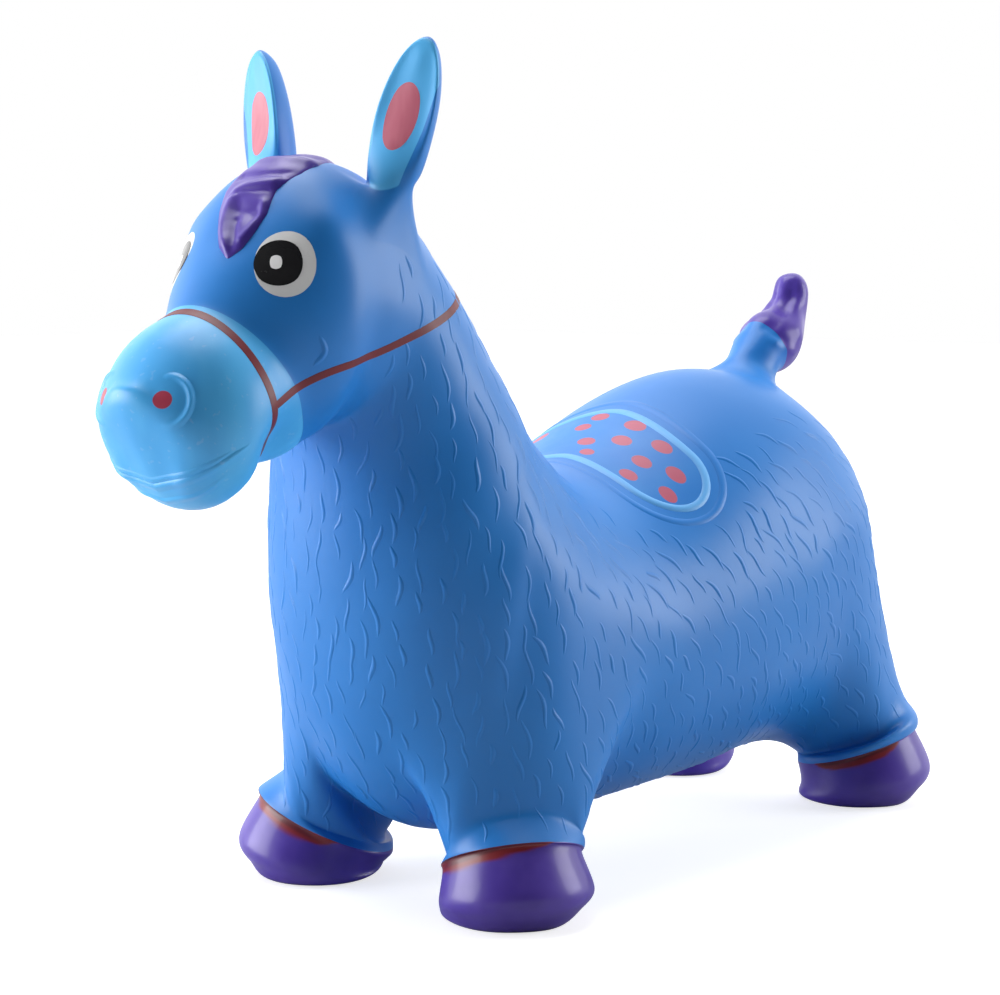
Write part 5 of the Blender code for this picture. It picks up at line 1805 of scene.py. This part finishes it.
class Dresser:
    """Dresses the frame: the skin's pieces with their relief, the trim, and the valve."""

    # The brow, the hollow under the chin, five folds of the tuft, and the hollow under the mane.
    swellings: tuple[Swelling, ...] = (
        Swelling(((0.047, -0.118, 0.395),), 0.015, 0.0030),
        Swelling(((0.049, -0.145, 0.277), (0.026, -0.143, 0.262), (0, -0.141, 0.256),
                  (-0.026, -0.143, 0.262), (-0.049, -0.145, 0.277)), 0.020, -0.0120, False),
        Swelling(((0.0095, 0.3674, 0.3316), (0.0156, 0.3695, 0.3271), (0.0201, 0.3748, 0.3202)),
                 0.0040, -0.0018),
        Swelling(((0.0180, 0.3690, 0.3215), (0.0205, 0.3775, 0.3170), (0.0211, 0.3857, 0.3133)),
                 0.0036, 0.0014),
        Swelling(((0.0111, 0.4021, 0.3459), (0.0157, 0.3993, 0.3374), (0.0206, 0.3924, 0.3282)),
                 0.0062, 0.0018),
        Swelling(((0.0074, 0.4025, 0.3523), (0.0086, 0.3921, 0.3430), (0.0135, 0.3736, 0.3335)),
                 0.0042, -0.0018),
        Swelling(((0.0061, 0.4051, 0.3616), (0.0085, 0.4032, 0.3519)), 0.0036, -0.0009),
        Swelling(((0, -0.150, 0.402), (0, -0.120, 0.428), (0, -0.080, 0.440), (0, -0.045, 0.425)),
                 0.024, -0.0035, False),
    )
    # Folds round the mouth, each from the middle plane outwards, and the fold of the cheek.
    ridges: dict[str, tuple[Ridge, ...]] = {
        "muzzle": (
            Ridge(((0.0, -0.1975, 0.2605), (0.0145, -0.1992, 0.2625), (0.0236, -0.1990, 0.2650),
                   (0.0361, -0.1939, 0.2701), (0.0451, -0.1871, 0.2769), (0.0506, -0.1770, 0.2844)),
                  0.0034, 0.0012, 0.5, 1.0),
            Ridge(((0.0, -0.2004, 0.2642), (0.0274, -0.2004, 0.2693), (0.0393, -0.1946, 0.2747),
                   (0.0472, -0.1869, 0.2817)), 0.0026, 0.0007, 0.4, 1.0),
            Ridge(((0.0, -0.1900, 0.2528), (0.0121, -0.1913, 0.2544), (0.0235, -0.1888, 0.2573),
                   (0.0338, -0.1864, 0.2634), (0.0404, -0.1850, 0.2689)), 0.0034, 0.0008, 0.5, 1.0),
        ),
        "head": (
            Ridge(((0.0520, -0.1330, 0.3230), (0.0557, -0.1279, 0.3308), (0.0540, -0.1310, 0.3400)),
                  0.0022, 0.0007),
        ),
    }
    finishes: dict[str, Finish] = {"muzzle": SKY_PAINT, "ear": EAR_PAINT, "coronet": HOOF_PAINT,
                                   "hoof": HOOF_PAINT, "tail_tuft": VIOLET_PAINT}
    furred: tuple[str, ...] = ("barrel", "chest", "neck", "head", "leg_front_left", "leg_front_right",
                               "leg_rear_left", "leg_rear_right")
    # The lens of red paint on a hoof: middle and half extent round the front hoof and the rear one.
    lens: tuple[tuple[float, float], ...] = (
        (math.radians(-80), math.radians(68)), (math.radians(-64), math.radians(44)))
    lens_depth: float = 0.0066
    lens_rise: float = 0.0048
    lens_slope: float = 0.02
    lens_blur: float = 0.0022
    # Painted shade under the hem: its rise towards the hem in shares of the band, and its fall away from the
    # red lens's middle.
    shade_rise: tuple[float, float] = (0.35, 0.6)
    shade_fall: tuple[float, float] = (1.1, 0.5)
    # The painted lining of an ear: its foot along the ear, the foot's half sizes, and its outer edge.
    lining_foot: float = 0.40
    foot_half_shares: tuple[float, float] = (0.95, 0.27)
    foot_blur: float = 0.3
    edge_blur: float = 0.003
    edge_lift: float = 0.6
    outer_runs: tuple[float, ...] = (0.1, 0.5, 0.8, 1.0)
    outer_shares: tuple[float, ...] = (0.50, 0.78, 0.88, 0.70)
    outer_blur: float = 0.1
    valve_share: float = 0.769
    valve_radius: float = 0.0085
    valve_top: float = 0.08
    # The raised skin round the saddle cloth: its inset from the cloth's outline, width and height.
    shoulder: tuple[float, float, float] = (-0.0115, 0.0065, 0.0007)
    border_height: float = 0.0011

    def __init__(self) -> None:
        """Grow the skin."""
        self.horse = Horse()
        self.skin = Skin(self.horse.cage(), self.swellings)
        self.pieces = self.skin.pieces()
        self.shop = Workshop()
        LOG.info("skin: %d faces in %d pieces", len(self.skin.quads), len(self.pieces))

    def body(self, piece: str) -> str:
        """The body that a piece of the skin rides on.

        Args:
            piece: The piece's name.

        Returns:
            The body's name, or nothing for a leg, an ear's root or the tail's dock, which ride on no body.
        """
        if piece.startswith(("leg", "ear_root", "tail_dock")):
            return ""
        if piece.startswith("ear"):
            return piece.replace("_lining", "")
        if piece.startswith("coronet"):
            return piece.replace("coronet", "hoof")
        return {"tail_tuft": "tail"}.get(piece, piece if piece.startswith("hoof") else "horse")

    def hoof_paint(self, piece: str, patch: Patch) -> dict[str, np.ndarray]:
        """Where a hoof and its coronet are red, and where painted shade under the hem darkens them.

        Args:
            piece: The piece's name.
            patch: Its form.

        Returns:
            The two covers, each from 0 to 1.
        """
        leg = self.horse.legs()["rear" in piece]
        side = 1 if piece.endswith("left") else -1
        points = patch.points * (side, 1, 1) - (leg.track / 2, leg.place, 0)
        turn = np.arctan2(points[:, 1], points[:, 0])
        height = points[:, 2] - np.array([leg.top(angle) for angle in turn])
        middle, extent = self.lens["rear" in piece]
        away = np.abs((turn - middle + math.pi) % (2 * math.pi) - math.pi) / extent
        depth = self.lens_depth * np.sqrt(np.clip(1 - away ** 2, 0, 1))
        depth = depth - self.lens_rise - self.lens_slope * np.maximum(away - 1, 0)
        (start, span), (end, fall) = self.shade_rise, self.shade_fall
        return {"red": smooth_rise((height + depth) / self.lens_blur + 0.5),
                "shade": smooth_rise((height / leg.band - start) / span) * smooth_rise((end - away) / fall)}

    def lining_values(self, piece: str, patch: Patch) -> np.ndarray:
        """Cover of the sky-blue paint on the front of an ear: up to its edges, with a rounded lower end.

        Args:
            piece: The piece's name.
            patch: Its form.

        Returns:
            The cover, from 0 to 1.
        """
        ear = self.horse.ear()
        axis, outward, front = (np.array(way) for way in ear.directions())
        places = patch.points * (1 if piece.endswith("left") else -1, 1, 1) - np.array(ear.root)
        run, across, ahead = places @ axis / ear.length, places @ outward / ear.width * 2, places @ front
        rings, _, depths, _ = zip(*ear.ring_shares)
        edge = np.interp(run, rings, depths) * ear.forward
        outer = np.interp(run, self.outer_runs, self.outer_shares)
        foot, (half_width, half_run) = self.lining_foot, self.foot_half_shares
        below = np.sqrt((across / half_width) ** 2 + (np.maximum(foot - run, 0) / half_run) ** 2)
        cover = np.minimum((ahead - edge) / self.edge_blur + self.edge_lift,
                           (1 - below) / self.foot_blur + 0.5 + (run > foot))
        return np.clip(np.minimum(cover, (outer - across) / self.outer_blur + 0.5), 0, 1)

    def dress_skin(self) -> None:
        """Show the pieces of the skin with their fur and ridges."""
        furred = {name: self.pieces[name] for name in self.furred}
        fur = Fur().lay(self.skin, furred)
        valve = np.array((0, self.valve_share * self.horse.trunk.wheelbase))
        for name, quads in self.pieces.items():
            if name == "barrel":
                middle = self.skin.points[self.skin.quads[quads]].mean(axis=1)
                hole = np.linalg.norm(middle[:, :2] - valve, axis=1) < self.valve_radius
                quads = quads[~(hole & (middle[:, 2] < self.valve_top))]
            patch = self.skin.patch(quads)
            if name.startswith(("coronet", "hoof")):
                patch.values = self.hoof_paint(name, patch)
            if name.startswith("ear"):
                patch.values = {"lining": self.lining_values(name, patch)}
            if name in fur:
                patch = patch.with_patch(fur[name])
            if name == "barrel":
                patch = patch.with_patch(Saddle(self.skin, self.horse).band(*self.shoulder))
            for ridge in self.ridges.get(name, ()):
                laid = ridge.lay(self.skin)
                patch = patch.with_patch(laid).with_patch(laid.mirrored())
            finish = next((paint for word, paint in self.finishes.items() if name.startswith(word)), VINYL)
            piece = self.shop.show("skin_" + name, patch, finish, name, self.body(name))
            if not self.body(name):
                self.bend(piece, name)

    def bend(self, piece: bpy.types.Object, name: str) -> None:
        """Pass a leg, an ear's root or the tail's dock, with its borders with the horse and with its moving
        neighbour, to the workshop's bend.

        Args:
            piece: The object.
            name: Its name among the pieces of the skin.
        """
        moving, body = {
            "leg": (name.replace("leg", "coronet"), name.replace("leg", "hoof")),
            "ear": (name.replace("_root", ""), name.replace("_root", "")),
            "tai": ("tail_tuft", "tail"),
        }[name[:3]]
        others = [quads for other, quads in self.pieces.items() if self.body(other) == "horse"]
        still = border_points(self.skin, self.pieces[name], others)
        self.shop.bend(piece, body, still, border_points(self.skin, self.pieces[name], [self.pieces[moving]]))

    def dress_pairs(self) -> None:
        """Show the trim that comes in pairs."""
        face = Face(self.skin, self.horse)
        pairs = {**face.eyes(), "nostril": (face.nostril_patch(), NOSTRIL_PAINT),
                 "ear_spot": (face.ear_spot(), SPOT_PAINT)}
        for name, (patch, finish) in pairs.items():
            patch.values = {title: values for title, values in patch.values.items() if title == "red"}
            for side, form in (("left", patch), ("right", patch.mirrored())):
                node = name + "_" + side
                body = "ear_" + side if name == "ear_spot" else "horse"
                self.shop.show("trim_" + node, form, finish, node, body)

    def dress_rest(self) -> None:
        """Show the halter, the saddle cloth and the mane, and finish the valve."""
        halter, saddle = Halter(self.skin, self.horse), Saddle(self.skin, self.horse)
        border = saddle.band(0, saddle.border, self.border_height)
        rest = {
            "noseband": (halter.noseband(), STRAP_PAINT),
            "neck_strap": (halter.neck_strap(), STRAP_PAINT),
            "saddle_panel": (saddle.panel(), SADDLE_PAINT),
            "saddle_border": (border, BORDER_PAINT),
            "mane": (Mane(self.skin, self.horse).patch(), VIOLET_PAINT),
        }
        for name, (patch, finish) in rest.items():
            self.shop.show("trim_" + name, patch, finish, name, "horse")
        for name in ("valve_seat", "valve_plug"):
            for slot in bpy.data.objects[name].material_slots:
                slot.material = VALVE_PLASTIC.material()


@dataclass
class Studio:
    """The floor, the soft lights and the camera."""

    lens: float = 82.8
    sensor: float = 36
    place: Point = (0.90596, -1.11372, 0.38084)
    azimuth: float = math.radians(39.7)
    pitch: float = math.radians(5.97)
    aim: Point = (0, 0, 0.25)
    floor_half: float = 8.0
    floor_tone: float = 0.60
    floor_roughness: float = 0.9
    floor_glow: float = 0.70
    # Each light: its name, place, width in metres and power in watts.
    lights: tuple[tuple[Any, ...], ...] = (
        ("left_box", (-1.75, -1.55, 0.32), 1.9, 94.0), ("top_box", (-0.5, 0.0, 2.2), 1.6, 36.0),
        ("right_box", (1.5, 1.5, 0.8), 1.2, 30.0))
    bright: float = 1.5
    dim: float = 0.045
    world_rise: float = 0.25
    world_edges: tuple[float, float] = (-0.05, 0.85)

    def build_floor(self) -> None:
        """Lay the pale floor, which glows a little for the camera as a lit white floor does."""
        size, floor = self.floor_half, bpy.data.meshes.new("floor")
        corners = [(-size, -size, 0), (size, -size, 0), (size, size, 0), (-size, size, 0)]
        floor.from_pydata(corners, [], [(0, 1, 2, 3)])
        ground = Graph("pale_floor")
        ground.shader.inputs["Base Color"].default_value = (self.floor_tone,) * 3 + (1,)
        ground.shader.inputs["Roughness"].default_value = self.floor_roughness
        ground.shader.inputs["Emission Color"].default_value = (1, 1, 1, 1)
        seen = ground.node("LightPath", {}, {}, "Is Camera Ray")
        ground.put(ground.shader.inputs["Emission Strength"], seen * self.floor_glow)
        floor.materials.append(ground.material)
        item = bpy.data.objects.new("floor", floor)
        bpy.context.scene.collection.objects.link(item)

    def build_world(self) -> None:
        """Surround the horse with white walls, dim on the camera's side."""
        world = bpy.data.worlds.new("studio")
        world.use_nodes = True
        tree = Graph("studio", world.node_tree)
        toward = (-math.sin(self.azimuth), math.cos(self.azimuth), self.world_rise)
        place = tree.node("TexCoord", {}, {}, "Generated")
        ahead = tree.node("VectorMath", {"operation": "DOT_PRODUCT"}, {0: place, 1: toward}, "Value")
        level = tree.step(ahead, *self.world_edges) * (self.bright - self.dim) + self.dim
        seen = tree.node("LightPath", {}, {}, "Is Camera Ray")
        level = level * (1 - seen) + seen
        background = world.node_tree.nodes["Background"]
        background.inputs[0].default_value = (1, 1, 1, 1)
        tree.put(background.inputs[1], level)
        bpy.context.scene.world = world

    def build(self) -> None:
        """Set up the floor, lights and camera."""
        bpy.context.scene.view_settings.view_transform = "Standard"
        self.build_floor()
        self.build_world()
        for name, place, width, power in self.lights:
            lamp = bpy.data.lights.new(name, "AREA")
            lamp.size, lamp.energy = width, power
            item = bpy.data.objects.new(name, lamp)
            item.location = place
            item.rotation_euler = (Vector(self.aim) - Vector(place)).to_track_quat("-Z", "Y").to_euler()
            bpy.context.scene.collection.objects.link(item)
        camera = bpy.data.cameras.new("camera")
        camera.lens, camera.sensor_width = self.lens, self.sensor
        item = bpy.data.objects.new("camera", camera)
        item.location = self.place
        item.rotation_euler = Euler((math.pi / 2 - self.pitch, 0, self.azimuth))
        bpy.context.scene.collection.objects.link(item)
        bpy.context.scene.camera = item


def main() -> None:
    """Build the dressed horse and its studio."""
    logging.basicConfig(level=logging.INFO, format="%(message)s")
    Studio().build()
    dresser = Dresser()
    dresser.dress_skin()
    dresser.dress_pairs()
    dresser.dress_rest()


if __name__ == "__main__":
    main()
